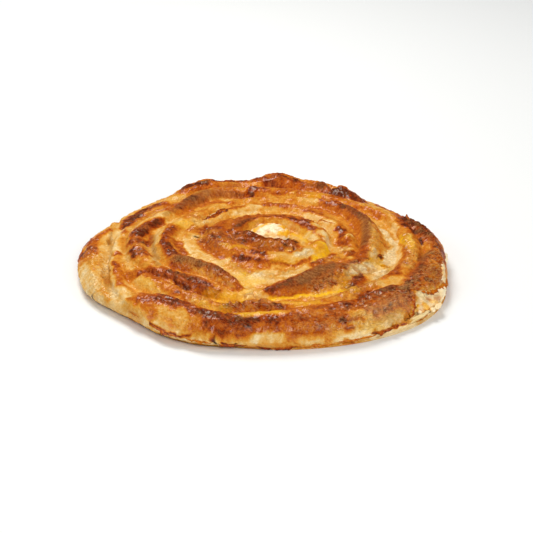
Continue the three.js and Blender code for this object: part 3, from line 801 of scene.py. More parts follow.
        (0.6, 5, [(222, 246), (232, 247), (240, 245), (247, 248)]),
        (0.85, 2.4, [(218, 238), (222, 236)]),
        (0.88, 2.6, [(228, 236), (232, 240)]),
        (0.85, 2.2, [(225, 231), (231, 230), (236, 234)]),
        (0.2, 2.5, [(193, 238), (192, 245), (198, 252), (206, 257)]),
        (0.7, 4, [(208, 250), (215, 253), (222, 256)]),
        (0.6, 5, [(231, 252), (242, 253), (250, 256)]),
        (0.92, 3, [(253, 252), (259, 252), (265, 254)]),
        (0.4, 4, [(273, 253), (279, 257)]),
        (0.92, 2.6, [(234, 257), (241, 258), (248, 259)]),
        (0.88, 2.6, [(256, 260), (262, 262), (269, 264)]),
        (0.62, 4, [(250, 265), (258, 267), (266, 268)]),
        (0.36, 7, [(279, 257), (288, 258), (297, 258)]),
        (0.06, 5, [(298, 256), (304, 254), (309, 251)]),
        (0.2, 1.6, [(290, 262), (300, 260), (307, 256), (312, 250)]),
        (0.42, 3, [(282, 252), (288, 251)]),
        (0.74, 1.6, [(270, 262), (280, 264), (290, 265), (300, 264), (308, 261), (315, 257)]),
        (0.42, 3, [(279, 269), (288, 269), (297, 268)]),
        (0.52, 5, [(315, 243), (319, 246), (320, 250)]),
        (0.3, 4, [(323, 245), (327, 249), (323, 254), (318, 258)]),
        (0.5, 2.5, [(317, 240), (324, 240)]),
        (0.16, 4, [(322, 232), (328, 237), (331, 244)]),
        (0.14, 4, [(309, 236), (314, 239)]),
    ],
    rearMiddle=[  # between the arch and the rear rim
        (0.42, 3, [(262, 208), (273, 208), (285, 208)]),
        (0.72, 2.6, [(262, 205), (270, 204), (278, 204), (287, 206)]),
        (0.2, 3, [(249, 206), (258, 206)]),
        (0.68, 3, [(230, 209), (239, 207), (246, 209)]),
        (0.28, 3, [(199, 224), (208, 221), (216, 218), (224, 215), (231, 212)]),
        (0.92, 1.4, [(205, 220), (213, 218), (220, 213), (227, 210)]),
        (0.24, 2, [(204, 217), (213, 213), (222, 209)]),
        (0.48, 6, [(180, 212), (190, 212), (200, 213), (209, 211)]),
        (0.68, 5, [(184, 208), (195, 206), (206, 204), (216, 202), (227, 203)]),
        (0.87, 3, [(177, 207), (184, 203), (191, 200), (198, 197)]),
        (0.73, 5, [(202, 197), (208, 193), (216, 192), (225, 193), (233, 195)]),
        (0.78, 4, [(236, 196), (245, 197), (251, 195)]),
        (0.92, 2, [(249, 191), (252, 195)]),
        (0.48, 4, [(248, 201), (259, 202), (271, 201)]),
        (0.4, 4, [(214, 206), (223, 206)]),
        (0.42, 4, [(294, 203), (302, 204)]),
        (0.66, 4, [(312, 208), (321, 207), (330, 210), (338, 213)]),
        (0.2, 3, [(306, 216), (316, 218), (326, 221), (334, 223)]),
        (0.7, 2, [(258, 191), (268, 191), (279, 192), (290, 191)]),
    ],
    touches=[  # small ones all over, laid on last
        (0.24, 3.2, [(240, 297), (248, 296), (256, 296), (264, 298)]),
        (0.3, 5, [(124, 309), (132, 312), (140, 316)]),
        (0.9, 3.2, [(346, 196), (354, 199), (361, 202)]),
        (0.4, 4, [(340, 255), (350, 257)]),
        (0.6, 4.5, [(194, 318), (195, 324), (196, 330)]),
        (0.25, 2.5, [(238, 211), (246, 209), (254, 208)]),
        (0.28, 4, [(190, 240), (194, 246)]),
        (0.42, 4, [(240, 268), (250, 270)]),
        (0.68, 3, [(322, 200), (332, 197), (338, 200)]),
        (0.3, 3, [(380, 284), (390, 281)]),
        (0.55, 4, [(357, 236), (358, 246)]),
        (0.6, 4, [(306, 312), (314, 312), (322, 311)]),
        (0.72, 3, [(89, 246), (96, 239), (103, 233), (110, 229)]),
        (0.45, 3.5, [(336, 299), (344, 297), (352, 296)]),
        (0.56, 4, [(243, 266), (251, 270)]),
        (0.85, 4, [(268, 185), (280, 186)]),
    ],
)

# Melted butter: how yellow, half width, pixels
butter = [
    (0.15, 3, [(117, 233), (116, 240)]),
    (0.25, 4, [(139, 282), (147, 283), (156, 288)]),
    (0.5, 5, [(180, 224), (188, 224)]),
    (0.4, 1.8, [(222, 244), (232, 247), (241, 246), (247, 249)]),
    (0.6, 5, [(242, 276), (250, 279), (258, 281), (246, 284)]),
    (0.45, 4.5, [(208, 295), (220, 297), (230, 297), (240, 296), (245, 293)]),
    (0.85, 2.4, [(218, 302), (226, 303), (236, 303), (246, 300)]),
    (1.2, 1.7, [
        (268, 300), (280, 299), (292, 298), (304, 296), (316, 296), (326, 294), (336, 292), (345, 290),
    ]),
    (0.35, 3.5, [(285, 302), (300, 303), (315, 302)]),
    (0.6, 3, [(200, 304), (214, 309), (228, 312), (244, 314), (260, 312), (276, 311)]),
    (0.35, 3, [(360, 331), (370, 328), (380, 325)]),
    (0.9, 2.2, [(400, 237), (402, 241), (406, 244)]),
    (0.6, 4, [(408, 238), (411, 247)]),
    (0.5, 4, [(380, 262), (386, 268)]),
    (0.8, 2.4, [(294, 235), (300, 237), (305, 241)]),
    (0.4, 3, [(303, 232), (309, 237)]),
    (0.5, 4, [(315, 244), (320, 247), (318, 252)]),
    (1.2, 3, [(323, 245), (327, 250), (323, 255), (317, 259)]),
    (0.3, 2.2, [(272, 260), (282, 261), (292, 261), (301, 259)]),
    (0.4, 4, [(310, 196), (318, 196)]),
    (0.4, 4, [(345, 284), (352, 290), (342, 291)]),
    (0.5, 4, [(372, 262), (378, 266)]),
    (0.35, 3, [(253, 226), (257, 228)]),
    (0.5, 4, [(420, 310), (416, 318)]),
]

# Dull, rougher skin, most of all on the arms and the rear rim, whose grey is a painted sheen; two strokes
# are painted shade: how dull, half width, pixels
dullSheenAndShade = [
    (0.7, 7, [(188, 201), (197, 197), (206, 191)]),
    (0.35, 5, [(226, 187), (236, 186)]),
    (0.5, 6, [(424, 268), (432, 272)]),
    (1.0, 4, [(178, 258), (186, 259), (194, 261), (203, 264)]),
    (0.35, 3, [(202, 264), (212, 267), (220, 271)]),
    (0.4, 2.4, [(170, 271), (180, 274), (190, 277), (199, 278)]),
    (1.1, 5, [(300, 281), (308, 277), (316, 272), (324, 268), (331, 266)]),
    (0.5, 4.5, [(288, 286), (298, 284), (308, 282), (316, 279), (328, 275)]),
    (0.6, 2.4, [(330, 266), (338, 266), (346, 264)]),
    (0.4, 3, [(280, 285), (290, 283)]),
    (0.9, 4.4, [(362, 216), (367, 221), (366, 230), (365, 238), (363, 244)]),
    (0.5, 3, [(345, 206), (352, 210), (359, 215)]),
    (0.5, 4.5, [(196, 200), (202, 197), (208, 195), (215, 194), (222, 193)]),
    (0.4, 4, [(224, 194), (232, 195), (237, 196)]),
    (0.6, 2.6, [(165, 214), (172, 211), (180, 206), (188, 202)]),
    (0.5, 3, [(180, 189), (184, 188)]),
    (0.6, 3, [(200, 181), (208, 181)]),
    (0.5, 4, [(312, 184), (318, 185), (322, 186)]),
    (0.3, 4, [(418, 224), (423, 229), (424, 236)]),
    (0.7, 4, [(430, 253), (424, 257), (420, 261)]),
    (0.3, 3, [(419, 270), (413, 274), (417, 279)]),
    (0.6, 2.4, [(400, 287), (404, 289), (408, 285)]),
    (0.3, 3, [(198, 313), (204, 314)]),
    (0.35, 1.8, [(222, 316), (236, 317), (250, 316)]),
    (0.5, 2, [(374, 333), (384, 331), (391, 328)]),
    (0.4, 3, [(236, 227), (242, 220), (250, 219)]),
    (0.4, 3, [(140, 227), (147, 226)]),
    # Painted shade: grey-brown down the crease beside the loose end
    (0.55, 1.6, [(113, 232), (110, 240), (109, 252), (107, 264), (106, 275), (108, 285)]),
    # Painted shade: grey down the narrow valley to the right of it
    (0.6, 3, [(154, 236), (153, 246), (154, 256), (157, 264)]),
    (0.35, 2.2, [(127, 240), (126, 250), (129, 260)]),
    (0.4, 3, [(245, 233), (248, 232)]),
    (0.4, 1.6, [(382, 320), (388, 316), (393, 313)]),
]

# Burnt specks: how dark, half width, pixels
burnt = [
    (0.9, 1.2, [(92, 297), (93, 299)]),
    (1.0, 1.3, [(195, 237), (198, 238)]),
    (1.0, 1.8, [(285, 240), (288, 239)]),
    (0.9, 1.2, [(295, 241), (297, 242)]),
    (0.9, 1.2, [(285, 244), (286, 245)]),
    (0.8, 1, [(243, 240), (246, 241)]),
    (0.9, 1, [(248, 326), (249, 327)]),
    (0.9, 1, [(319, 330), (321, 330)]),
    (0.7, 0.7, [(342, 320), (344, 321)]),
    (1.0, 1, [(214, 342), (216, 344)]),
    (1.0, 1, [(233, 347), (236, 345)]),
    (0.8, 1, [(420, 241), (422, 241)]),
    (0.8, 1, [(420, 244), (422, 244)]),
    (0.7, 1, [(380, 258), (382, 257)]),
    (0.8, 1, [(381, 242), (382, 243)]),
]

# Cheese smeared over the skin, mostly where it has burst, and one painted highlight: how thick, half width,
# pixels
smearsAndHighlights = [
    (1.0, 2.4, [(419, 295), (426, 295), (433, 296)]),
    (1.1, 2.6, [(422, 300), (428, 302), (434, 303), (438, 302)]),
    (0.1, 6, [(370, 313), (382, 311), (394, 307), (403, 302)]),
    (0.25, 4, [(354, 268), (362, 270)]),
    (0.4, 3, [(423, 313), (430, 310)]),
    # Painted highlight on the yellow mound, laid in the smear's cheese colour
    (0.5, 1.2, [(323, 238), (327, 242), (329, 247)]),
    (1.1, 2.8, [(420, 306), (426, 307), (432, 308)]),
    (1.0, 2.2, [(424, 312), (429, 312)]),
    (0.8, 2.0, [(414, 319), (419, 317), (423, 315)]),
    (0.5, 3.0, [(440, 296), (443, 292)]),
    (1.0, 1.8, [(443, 265), (443, 271), (444, 277), (444, 282)]),
]

# Thin dark edge of the bottom sheet of pastry: how brown, half width, pixels
footEdge = [
    (0.95, 0.9, [(150, 323), (158, 328), (166, 332), (174, 335), (180, 337), (190, 336), (200, 338)]),
    (0.95, 0.9, [(205, 339), (213, 341)]),
    (0.95, 0.9, [(221, 343), (228, 345), (236, 345)]),
    (0.9, 0.9, [(242, 346), (252, 347), (262, 349)]),
    (0.97, 1.1, [(264, 349), (272, 350), (281, 349), (291, 347), (300, 348)]),
    (0.8, 0.9, [(310, 347), (320, 345)]),
]

# Skin drawn up or pressed in by hand and heat: millimetres, half width, pixels
pushes = [
    (-1.6, 5.0, [(436, 297), (428, 301), (420, 306), (416, 313), (412, 319)]),
    (-1.2, 4.0, [(438, 303), (431, 309), (424, 315)]),
    (-2.8, 2.4, [
        (121, 216), (117, 225), (112, 236), (111, 246), (108, 258), (106, 270), (107, 279), (110, 288),
    ]),
    (-1.6, 2.4, [(110, 288), (113, 294), (119, 300), (126, 308)]),
    (-1.5, 2.2, [(128, 260), (130, 265), (132, 269)]),
    (-1.4, 1.6, [(163, 277), (172, 281), (180, 286), (188, 291), (197, 294), (207, 298), (220, 303)]),
    (1.8, 2.8, [(226, 307), (228, 307)]),
    (1.6, 2.6, [(234, 306), (236, 306)]),
    (2.2, 3.2, [(249, 304), (252, 304)]),
    (1.5, 3.2, [(319, 184), (321, 184)]),
    (-3.8, 3.4, [(331, 185), (335, 187)]),
    (-3.0, 4.5, [(299, 178), (314, 181)]),
    (-1.0, 4, [(218, 180), (230, 180), (242, 180), (254, 178)]),
    (-0.9, 3.5, [(182, 188), (196, 183), (210, 179)]),
    (-2.0, 4, [(262, 176), (272, 173), (283, 174), (292, 176)]),
    (-1.8, 5, [(252, 215), (262, 213), (274, 213), (286, 214), (296, 217)]),
    (1.5, 3.2, [(340, 187), (343, 188)]),
    (1.6, 3.6, [(362, 198), (368, 201)]),
    (0.9, 5, [(104, 229), (110, 226), (116, 223)]),
    (2.6, 3.6, [(264, 304), (268, 304)]),
    (1.6, 2.8, [(275, 306), (278, 306)]),
    (1.8, 3.0, [(247, 233), (250, 235)]),
    (1.6, 4.5, [(318, 245), (323, 246)]),
    (2.0, 4.5, [(355, 285), (361, 281)]),
    (1.4, 2.2, [(348, 236), (354, 239)]),
    (-1.8, 3.5, [(329, 246), (332, 240), (335, 245)]),
    (1.2, 1.8, [(246, 299), (249, 297), (256, 298)]),
    (1.4, 2.6, [(252, 293), (258, 295)]),
    (-1.5, 2.0, [(378, 226), (386, 229), (393, 234), (398, 241)]),
    (-1.2, 1.8, [(383, 222), (389, 226), (395, 231)]),
]

# Where the skin is crumpled like paper: how much, half width, pixels
crumpled = [
    (0.4, 12, [(364, 311), (350, 315), (334, 318), (304, 320)]),
    (0.8, 12, [(428, 283), (414, 292), (398, 299), (382, 305), (370, 309)]),
    (0.5, 8, [(318, 324), (332, 325), (345, 324)]),
    (0.8, 8, [(355, 322), (366, 320), (376, 317), (395, 311), (405, 304)]),
    (0.15, 9, [(198, 318), (215, 322), (235, 324), (255, 324), (280, 323), (300, 323)]),
    (0.6, 6, [(380, 230), (388, 238), (391, 250), (386, 264), (378, 276)]),
    (0.6, 5, [(176, 258), (188, 262), (202, 267), (216, 273), (230, 280)]),
    (0.5, 8, [(90, 250), (100, 260), (98, 275), (95, 288), (108, 296)]),
    (0.5, 5, [(232, 264), (250, 276), (272, 276), (295, 270)]),
    (1.0, 6, [(315, 290), (325, 285), (335, 279), (345, 273), (356, 268), (368, 266)]),
    (0.8, 5, [(345, 285), (352, 290), (375, 282)]),
    (0.4, 7, [(412, 222), (424, 231), (434, 244)]),
    (1.0, 9, [(436, 254), (438, 264), (434, 274), (428, 281)]),
    (0.9, 4, [(405, 236), (411, 245), (412, 256), (408, 266)]),
    (0.8, 4, [(372, 224), (374, 236), (373, 248), (370, 256)]),
    (0.8, 4, [(225, 307), (250, 305), (280, 306)]),
    (0.6, 10, [(205, 235), (220, 240), (232, 240)]),
    (0.6, 6, [(262, 244), (290, 245)]),
    (0.7, 5, [(300, 253), (306, 250)]),
    (0.6, 5, [(318, 262), (335, 258)]),
    (0.7, 4, [(343, 248), (348, 252)]),
    (0.6, 6, [(190, 299), (205, 303)]),
    (0.5, 5, [(340, 297), (352, 294)]),
    (0.6, 6, [(190, 228), (200, 222), (195, 214)]),
    (0.5, 6, [(140, 240), (142, 252)]),
    (0.4, 6, [(140, 216), (155, 207)]),
    (0.25, 8, [(208, 195), (222, 193), (238, 196)]),
    (0.5, 6, [(352, 268), (362, 267), (372, 263)]),
]


# Height above the local floor, from 0 in a valley to 1 on a crest
def crestShare(points):
    x, y, z = points.T
    share = np.hypot(x, y) / pie["radius"]
    floor = valleyFloor(share)
    return np.clip((z - floor) / (crown(share) - floor), 0, 1)


# The baked skin. Each relief has a height in millimetres and a size, or a length along the rope and a
# width across it. Browning is 0 for cream and 1 for nearly black.
skin = dict(
    wander=1.4, wanderSize=5,  # bends the patterns
    swellHeight=0.5, swellLength=9, swellWidth=3.6,
    wrinkleHeight=0.3, wrinkleSize=6.5, wrinkleSlope=2.5,
    blisterHeight=0.95, blisterSize=5, smallBlisterSize=2.9, smallBlisterShare=0.5, blisterMiddle=0.25,
    blisterFrom=1.0, blisterSlope=2.2,  # blisters rise where the browning times the slope passes this
    flankHeight=1.0, flankLength=4.2, flankWidth=10, sideLoss=0.7,  # crumples down the ropes' flanks
    paperHeight=0.85, paperSize=5.5, ridgeSlope=2.8, ridgeFloor=-0.8,  # crumples that run every way
    pimpleHeight=0.24, pimpleSize=2.6, pimplesEverywhere=0.6,
    shoulderAbove=3, shoulderBlend=8, footBlend=3,  # where top, side and foot meet
    valleyBrown=0.34, crestBrown=0.36, sideBrown=0.42, plainCrumple=0.1,  # before any stroke
    wobble=((1.4, 7, 31), (0.8, 2.6, 40)),  # raggedness of the strokes: length, size and seed
    mottleWander=9, streaks=(0.09, 8, 2.6, 1.5), mottles=((0.07, 11, 3), (0.08, 4.5, 2), (0.07, 2.4, 0)),
    mottleFull=1.6, mottleLeast=0.6,  # dark skin is mottled less
    # Blisters brown on top; the crumples' folds are made browner and their ridges paler, a painted shade
    # and highlight
    bakedBlister=0.7, flankShading=0.6, paperShading=0.4, bakedLimit=0.4,  # what browns with the relief
    reliefBrownShare=0.2, crumpleBrown=0.02,
)


# 0 on the top and 1 on the side, blended over the shoulder
def sideShare(points):
    above = pie["bulgeHeight"] + skin["shoulderAbove"] - points[:, 2]
    return np.clip(above / skin["shoulderBlend"], 0, 1)


# Ridges along the lines where a field is zero: 1 on the line, falling at a slope down to a floor
def ridges(field):
    return np.maximum(1 - skin["ridgeSlope"] * abs(field), skin["ridgeFloor"])


# How the skin stands out: swellings along the rope, wrinkles, blisters where it is brown, crumples
# that run down the ropes' flanks or every way, and pimples. The second value is how much browner the
# skin is made for it: browner on top of the blisters, and darker between the crumples' ridges and paler on
# them, a painted shade and painted highlight.
def relief(points, fields):
    bubble = np.clip(fields["brown"] * skin["blisterSlope"] - skin["blisterFrom"], 0, 1)
    crumple = fields["crumple"]
    shift = drift(points, skin["wanderSize"], 21)
    bent = points + skin["wander"] * shift
    blister = blisters(bent, skin["blisterSize"], 13) - skin["blisterMiddle"]
    small = blisters(bent, skin["smallBlisterSize"], 14) - skin["blisterMiddle"]
    blister = bubble * (blister + skin["smallBlisterShare"] * small)
    flank = ridges(coilNoise(bent, skin["flankLength"], skin["flankWidth"], 15))
    paper = ridges(softNoise(bent + shift, skin["paperSize"], 17))
    wrinkle = 1 - skin["wrinkleSlope"] * abs(softNoise(bent, skin["wrinkleSize"], 12))
    pimple = softNoise(points + shift, skin["pimpleSize"], 16) * (skin["pimplesEverywhere"] + bubble)
    flankHeight = skin["flankHeight"] - skin["sideLoss"] * sideShare(points)
    depth = skin["swellHeight"] * coilNoise(bent, skin["swellLength"], skin["swellWidth"], 11)
    depth += skin["wrinkleHeight"] * wrinkle
    depth += skin["blisterHeight"] * blister
    depth += crumple * (flankHeight * flank + skin["paperHeight"] * paper)
    depth += skin["pimpleHeight"] * pimple
    crumpleShading = crumple * (skin["flankShading"] * flank + skin["paperShading"] * paper)
    return depth, np.minimum(skin["bakedBlister"] * blister - crumpleShading, skin["bakedLimit"])


# Uneven browning: streaks along the rope with strength, length, width and wander, then patches,
# blotches and spots with strength, size and wander
def mottle(points):
    bend = drift(points, skin["mottleWander"], 41)
    strength, length, width, wander = skin["streaks"]
    uneven = strength * coilNoise(points + wander * bend, length, width, 44)
    for seed, (strength, size, wander) in enumerate(skin["mottles"], 45):
        uneven += strength * softNoise(points + wander * bend, size, seed)
    return uneven


# The fields that the material reads: plain values, the browning with mottling over it, then the other
# strokes. A stroke's edge wanders with the wobble, or a share of it.
def paintedFields(points, wobble):
    side = sideShare(points)
    top = skin["valleyBrown"] + skin["crestBrown"] * crestShare(points)
    brown = top * (1 - side) + skin["sideBrown"] * side
    paint(brown, points + wobble, sum(browningAndPaintedLight.values(), []))
    brown += mottle(points) * np.clip(skin["mottleFull"] - brown, skin["mottleLeast"], 1)
    paint(brown, points + 0.4 * wobble, footEdge)
    fields = dict(brown=brown)
    for name, strokes, plain, wander in (
        ("butter", butter, 0.0, 1),
        ("dullSheenAndShade", dullSheenAndShade, 0.0, 1),
        ("burnt", burnt, 0.0, 0.3),
        ("smearAndHighlight", smearsAndHighlights, 0.0, 0.8),
        ("crumple", crumpled, skin["plainCrumple"], 1),
    ):
        fields[name] = paint(np.full(len(points), plain), points + wander * wobble, strokes, "keep")
    return fields


print("pie: surface")
points, faces = pastrySkin()
wobble = sum(length * drift(points, size, seed) for length, size, seed in skin["wobble"])
fields = paintedFields(points, wobble)
depth, browningAndShading = relief(points, fields)
depth += paint(np.zeros(len(points)), points + wobble, pushes, "add")
aboveFoot = np.clip(points[:, 2] / skin["footBlend"], 0, 1)
# The relief browns the blisters' tops, and paints shade in the crumples' folds and highlight on their
# ridges
fields["brown"] += (skin["reliefBrownShare"] * browningAndShading + skin["crumpleBrown"] * fields["crumple"]) * aboveFoot
pastryPoints = points + outward(points, faces) * (depth * aboveFoot)[:, None]
pastryNormals = outward(pastryPoints, faces)
print("pie: points", len(points), "triangles", len(faces))


# A colour as a screen shows it, from 0 to 255, as the shader's linear values
def linear(red, green, blue):
    return [((value / 255 + 0.055) / 1.055) ** 2.4 for value in (red, green, blue)]


class Graph:
    # Short ways to add and join shader nodes
    def __init__(self, name):
        self.material = bpy.data.materials.new(name)
        self.material.use_nodes = True
        self.nodes = self.material.node_tree.nodes
        self.links = self.material.node_tree.links
        self.shader = self.nodes["Principled BSDF"]

    def put(self, value, socket):
        if isinstance(value, bpy.types.NodeSocket):
            self.links.new(value, socket)
        elif isinstance(value, (tuple, list)) and len(value) == 3 and socket.type == "RGBA":
            socket.default_value = (*value, 1)
        else:
            socket.default_value = value

    # Sets a value, or what nodes make, on one of the shader's own sockets
    def shade(self, socket, value):
        self.put(value, self.shader.inputs[socket])

    def attribute(self, name):
        node = self.nodes.new("ShaderNodeAttribute")
        node.attribute_name = name
        return node.outputs["Fac"]

    # Noise on the object's own coordinates, or on those laid along the rope, squeezed across it
    def noise(self, scale, detail=3, roughness=0.55, across=None):
        node = self.nodes.new("ShaderNodeTexNoise")
        if across is None:
            place = self.nodes.new("ShaderNodeTexCoord")
            self.links.new(place.outputs["Object"], node.inputs["Vector"])
        else:
            place = self.nodes.new("ShaderNodeAttribute")
            place.attribute_name = "grain"
            squeeze = self.nodes.new("ShaderNodeVectorMath")
            squeeze.operation = "MULTIPLY"
            self.links.new(place.outputs["Vector"], squeeze.inputs[0])
            squeeze.inputs[1].default_value = (1, 1, across)
            self.links.new(squeeze.outputs[0], node.inputs["Vector"])
        node.inputs["Scale"].default_value = scale
        node.inputs["Detail"].default_value = detail
        node.inputs["Roughness"].default_value = roughness
        return node.outputs["Fac"]

    def math(self, how, first, second=0.0, third=0.0, clamp=False):
        node = self.nodes.new("ShaderNodeMath")
        node.operation = how
        node.use_clamp = clamp
        for value, socket in zip((first, second, third), node.inputs):
            self.put(value, socket)
        return node.outputs[0]

    # A base plus values times their amounts; with clamp the sum is kept between 0 and 1
    def total(self, base, *terms, clamp=False):
        for number, (value, amount) in enumerate(terms, 1):
            base = self.math("MULTIPLY_ADD", value, amount, base, clamp=clamp and number == len(terms))
        return base

    # A noise times a number plus another, kept between 0 and 1 unless clamp is off
    def spread(self, times, plus, clamp=True, **noise):
        return self.total(plus, (self.noise(**noise), times), clamp=clamp)

    # Thin lines where a noise crosses its middle: 1 on the line, falling at a slope to 0
    def lines(self, slope, **noise):
        off = self.math("ABSOLUTE", self.math("ADD", self.noise(**noise), -0.5))
        return self.total(1, (off, -slope), clamp=True)

    def mix(self, factor, first, second):
        node = self.nodes.new("ShaderNodeMix")
        node.data_type = "RGBA"
        self.put(factor, node.inputs[0])
        self.put(first, node.inputs[6])
        self.put(second, node.inputs[7])
        return node.outputs[2]

    def ramp(self, factor, stops):
        node = self.nodes.new("ShaderNodeValToRGB")
        while len(node.color_ramp.elements) < len(stops):
            node.color_ramp.elements.new(0.5)
        for element, (place, colour) in zip(node.color_ramp.elements, stops):
            element.position = place
            element.color = (*colour, 1)
        self.links.new(factor, node.inputs["Fac"])
        return node.outputs["Color"]

    def bump(self, height, strength, distance):
        node = self.nodes.new("ShaderNodeBump")
        node.inputs["Strength"].default_value = strength
        node.inputs["Distance"].default_value = distance
        self.links.new(height, node.inputs["Height"])
        self.shade("Normal", node.outputs["Normal"])


# The finish of the baked skin: colours, the noises with their scale in steps a metre, and how much
# each pattern does to the browning, the colour, the coat of grease and the bump
bake = dict(
    stops=[
        (0.0, linear(252, 230, 184)), (0.15, linear(239, 204, 141)), (0.3, linear(229, 176, 90)),
        (0.45, linear(222, 151, 48)), (0.6, linear(205, 116, 20)), (0.75, linear(182, 84, 4)),
        (0.88, linear(144, 52, 2)), (1.0, linear(90, 27, 2)),
    ],
    # The pale wrinkle colour is a painted highlight, and the two dull greys a painted sheen
    butter=linear(250, 194, 16), burnt=linear(56, 30, 16), paintedSheen=linear(246, 184, 112),
    sheenDark=linear(78, 42, 18), sheenPale=linear(146, 98, 56), smearAndHighlight=linear(255, 234, 180),
    wrinkles=dict(slope=11, scale=420, detail=2, roughness=0.5, across=0.36),
    folds=dict(slope=19, scale=250, detail=3, roughness=0.5, across=0.9),
    creases=dict(slope=9, scale=330, detail=3, roughness=0.6),
    patches=dict(times=0.2, plus=-0.1, scale=140, detail=4),
    speckles=dict(times=1.0, plus=-0.5, scale=560, detail=5, roughness=0.72),
    # The crease amount darkens the browning along the creases: painted shade
    speckleOnPale=0.1, speckleOnBrown=0.36, creaseShade=0.1,
    soaked=dict(times=1.4, plus=0.05, scale=260, detail=3),
    sheenMottle=dict(times=2.6, plus=-0.8, scale=600, detail=4, roughness=0.7), sheenCover=0.7,
    sheenPlain=0.05, sheenOnDull=0.1, sheenCrumple=0.15, sheenFold=0.45,
    roughness=0.6, dullRoughness=0.15, specular=0.05, coatRoughness=0.18,
    grease=dict(times=2.4, plus=-0.75, scale=75, detail=3), greaseOnPale=0.2, greaseOnBrown=0.4,
    coatCrumple=0.2, coatWrinkle=0.15, coatOnDull=-0.8,
    bumpNoise=dict(scale=700, detail=4, roughness=0.6), bumpFine=0.9, bumpFold=0.7, bumpCrease=-0.12,
    bumpWrinkle=0.08, bumpWrinkleCrumple=0.15, bumpStrength=0.8, bumpDistance=0.0016,
)


# Colour of the baked skin: the browning, then butter, painted grey sheen, painted highlights on the
# wrinkles, smeared cheese and burnt specks
def bakedColour(graph, brown, crumple, dullSheenAndShade, wrinkle, fold):
    colour = graph.ramp(brown, bake["stops"])
    soaked = graph.math("MULTIPLY", graph.attribute("butter"), graph.spread(**bake["soaked"]))
    colour = graph.mix(soaked, colour, bake["butter"])
    # The dull skin's grey is a painted sheen, a lamp's broad reflection painted into the colour, and
    # painted shade in two creases
    greySheen = graph.mix(graph.spread(**bake["sheenMottle"]), bake["sheenDark"], bake["sheenPale"])
    colour = graph.mix(graph.math("MULTIPLY", dullSheenAndShade, bake["sheenCover"]), colour, greySheen)
    # Pale lines along the wrinkles and folds: painted highlights, a sheen painted into the colour
    paintedSheen = graph.total(
        bake["sheenPlain"], (dullSheenAndShade, bake["sheenOnDull"]), (crumple, bake["sheenCrumple"]), clamp=True,
    )
    paintedSheen = graph.total(graph.math("MULTIPLY", wrinkle, paintedSheen), (fold, bake["sheenFold"]), clamp=True)
    colour = graph.mix(paintedSheen, colour, bake["paintedSheen"])
    colour = graph.mix(graph.attribute("smearAndHighlight"), colour, bake["smearAndHighlight"])
    return graph.mix(graph.attribute("burnt"), colour, bake["burnt"])


def pastryMaterial():
    graph = Graph("baked_pastry")
    brown, crumple, dullSheenAndShade = (graph.attribute(name) for name in ("brown", "crumple", "dullSheenAndShade"))
    wrinkle = graph.lines(**bake["wrinkles"])
    fold = graph.math("MULTIPLY", graph.lines(**bake["folds"]), crumple)
    crease = graph.lines(**bake["creases"])
    speckle = graph.total(bake["speckleOnPale"], (brown, bake["speckleOnBrown"]))
    speckle = graph.math("MULTIPLY", speckle, graph.spread(clamp=False, **bake["speckles"]))
    uneven = graph.math("ADD", speckle, graph.spread(clamp=False, **bake["patches"]))
    brown = graph.math("ADD", brown, uneven, clamp=True)
    # Browner along the creases that the bump presses in: painted shade
    brown = graph.total(brown, (crease, bake["creaseShade"]), clamp=True)
    graph.shade("Base Color", bakedColour(graph, brown, crumple, dullSheenAndShade, wrinkle, fold))
    graph.shade("Roughness", graph.total(bake["roughness"], (dullSheenAndShade, bake["dullRoughness"])))
    graph.shade("Specular IOR Level", bake["specular"])
    grease = graph.total(bake["greaseOnPale"], (brown, bake["greaseOnBrown"]))
    grease = graph.math("MULTIPLY", grease, graph.spread(**bake["grease"]))
    grease = graph.total(
        grease, (crumple, bake["coatCrumple"]), (wrinkle, bake["coatWrinkle"]), (dullSheenAndShade, bake["coatOnDull"]),
        clamp=True,
    )
    graph.shade("Coat Weight", grease)
    graph.shade("Coat Roughness", bake["coatRoughness"])
    height = graph.total(bake["bumpWrinkle"], (crumple, bake["bumpWrinkleCrumple"]))
    height = graph.total(
        graph.math("MULTIPLY", height, wrinkle), (fold, bake["bumpFold"]),
        (graph.noise(**bake["bumpNoise"]), bake["bumpFine"]), (crease, bake["bumpCrease"]),
    )
    graph.bump(height, bake["bumpStrength"], bake["bumpDistance"])
    return graph.material


pastry = addMesh("pastry", pastryPoints, faces, pastryMaterial())
for name, values in fields.items():
    addField(pastry, name, values)
addGrain(pastry, pastryPoints)
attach(pastry, "root")
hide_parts("pastry_coil")

# The filling: a core that lies in the rope, the lumps where it shows with domes of two sizes and grit
# on them, and small curds, whose spacing, scatter and sizes are shares of their radius
cheese = dict(
    coreWidth=5, coreHeight=4.5, coreCentre=9, coreStep=7, coreSides=12,
    rows=90, columns=170, seed=60, bendSize=4,
    coarse=1.6, coarseSize=6.5, fine=0.9, fineSize=3, grit=0.35, gritSize=2.2,
    crumbRows=14, crumbColumns=22, crumbSeed=300, crumbSpacing=0.55, crumbScatter=0.35,
    crumbSizes=(0.6, 1.15), crumbSunk=0.5, crumbBumps=0.3, crumbBumpSize=1.6, crumbFlat=0.7,
    crumbClear=(0.75, 0.2),  # least height of a crumb's middle: share of its size, and millimetres
    stainWobble=(0.9, 3, 91),  # raggedness of the stains: length, size and seed
    pale=linear(250, 236, 202), warm=linear(240, 204, 140),
    butter=linear(240, 176, 28), toast=linear(196, 112, 34), toastCover=0.85,
    speckles=dict(times=0.9, plus=-0.3, scale=500, detail=4, roughness=0.6), roughness=0.45,
    bumpNoise=dict(scale=900, detail=3, roughness=0.5), bumpStrength=0.3, bumpDistance=0.001,
)

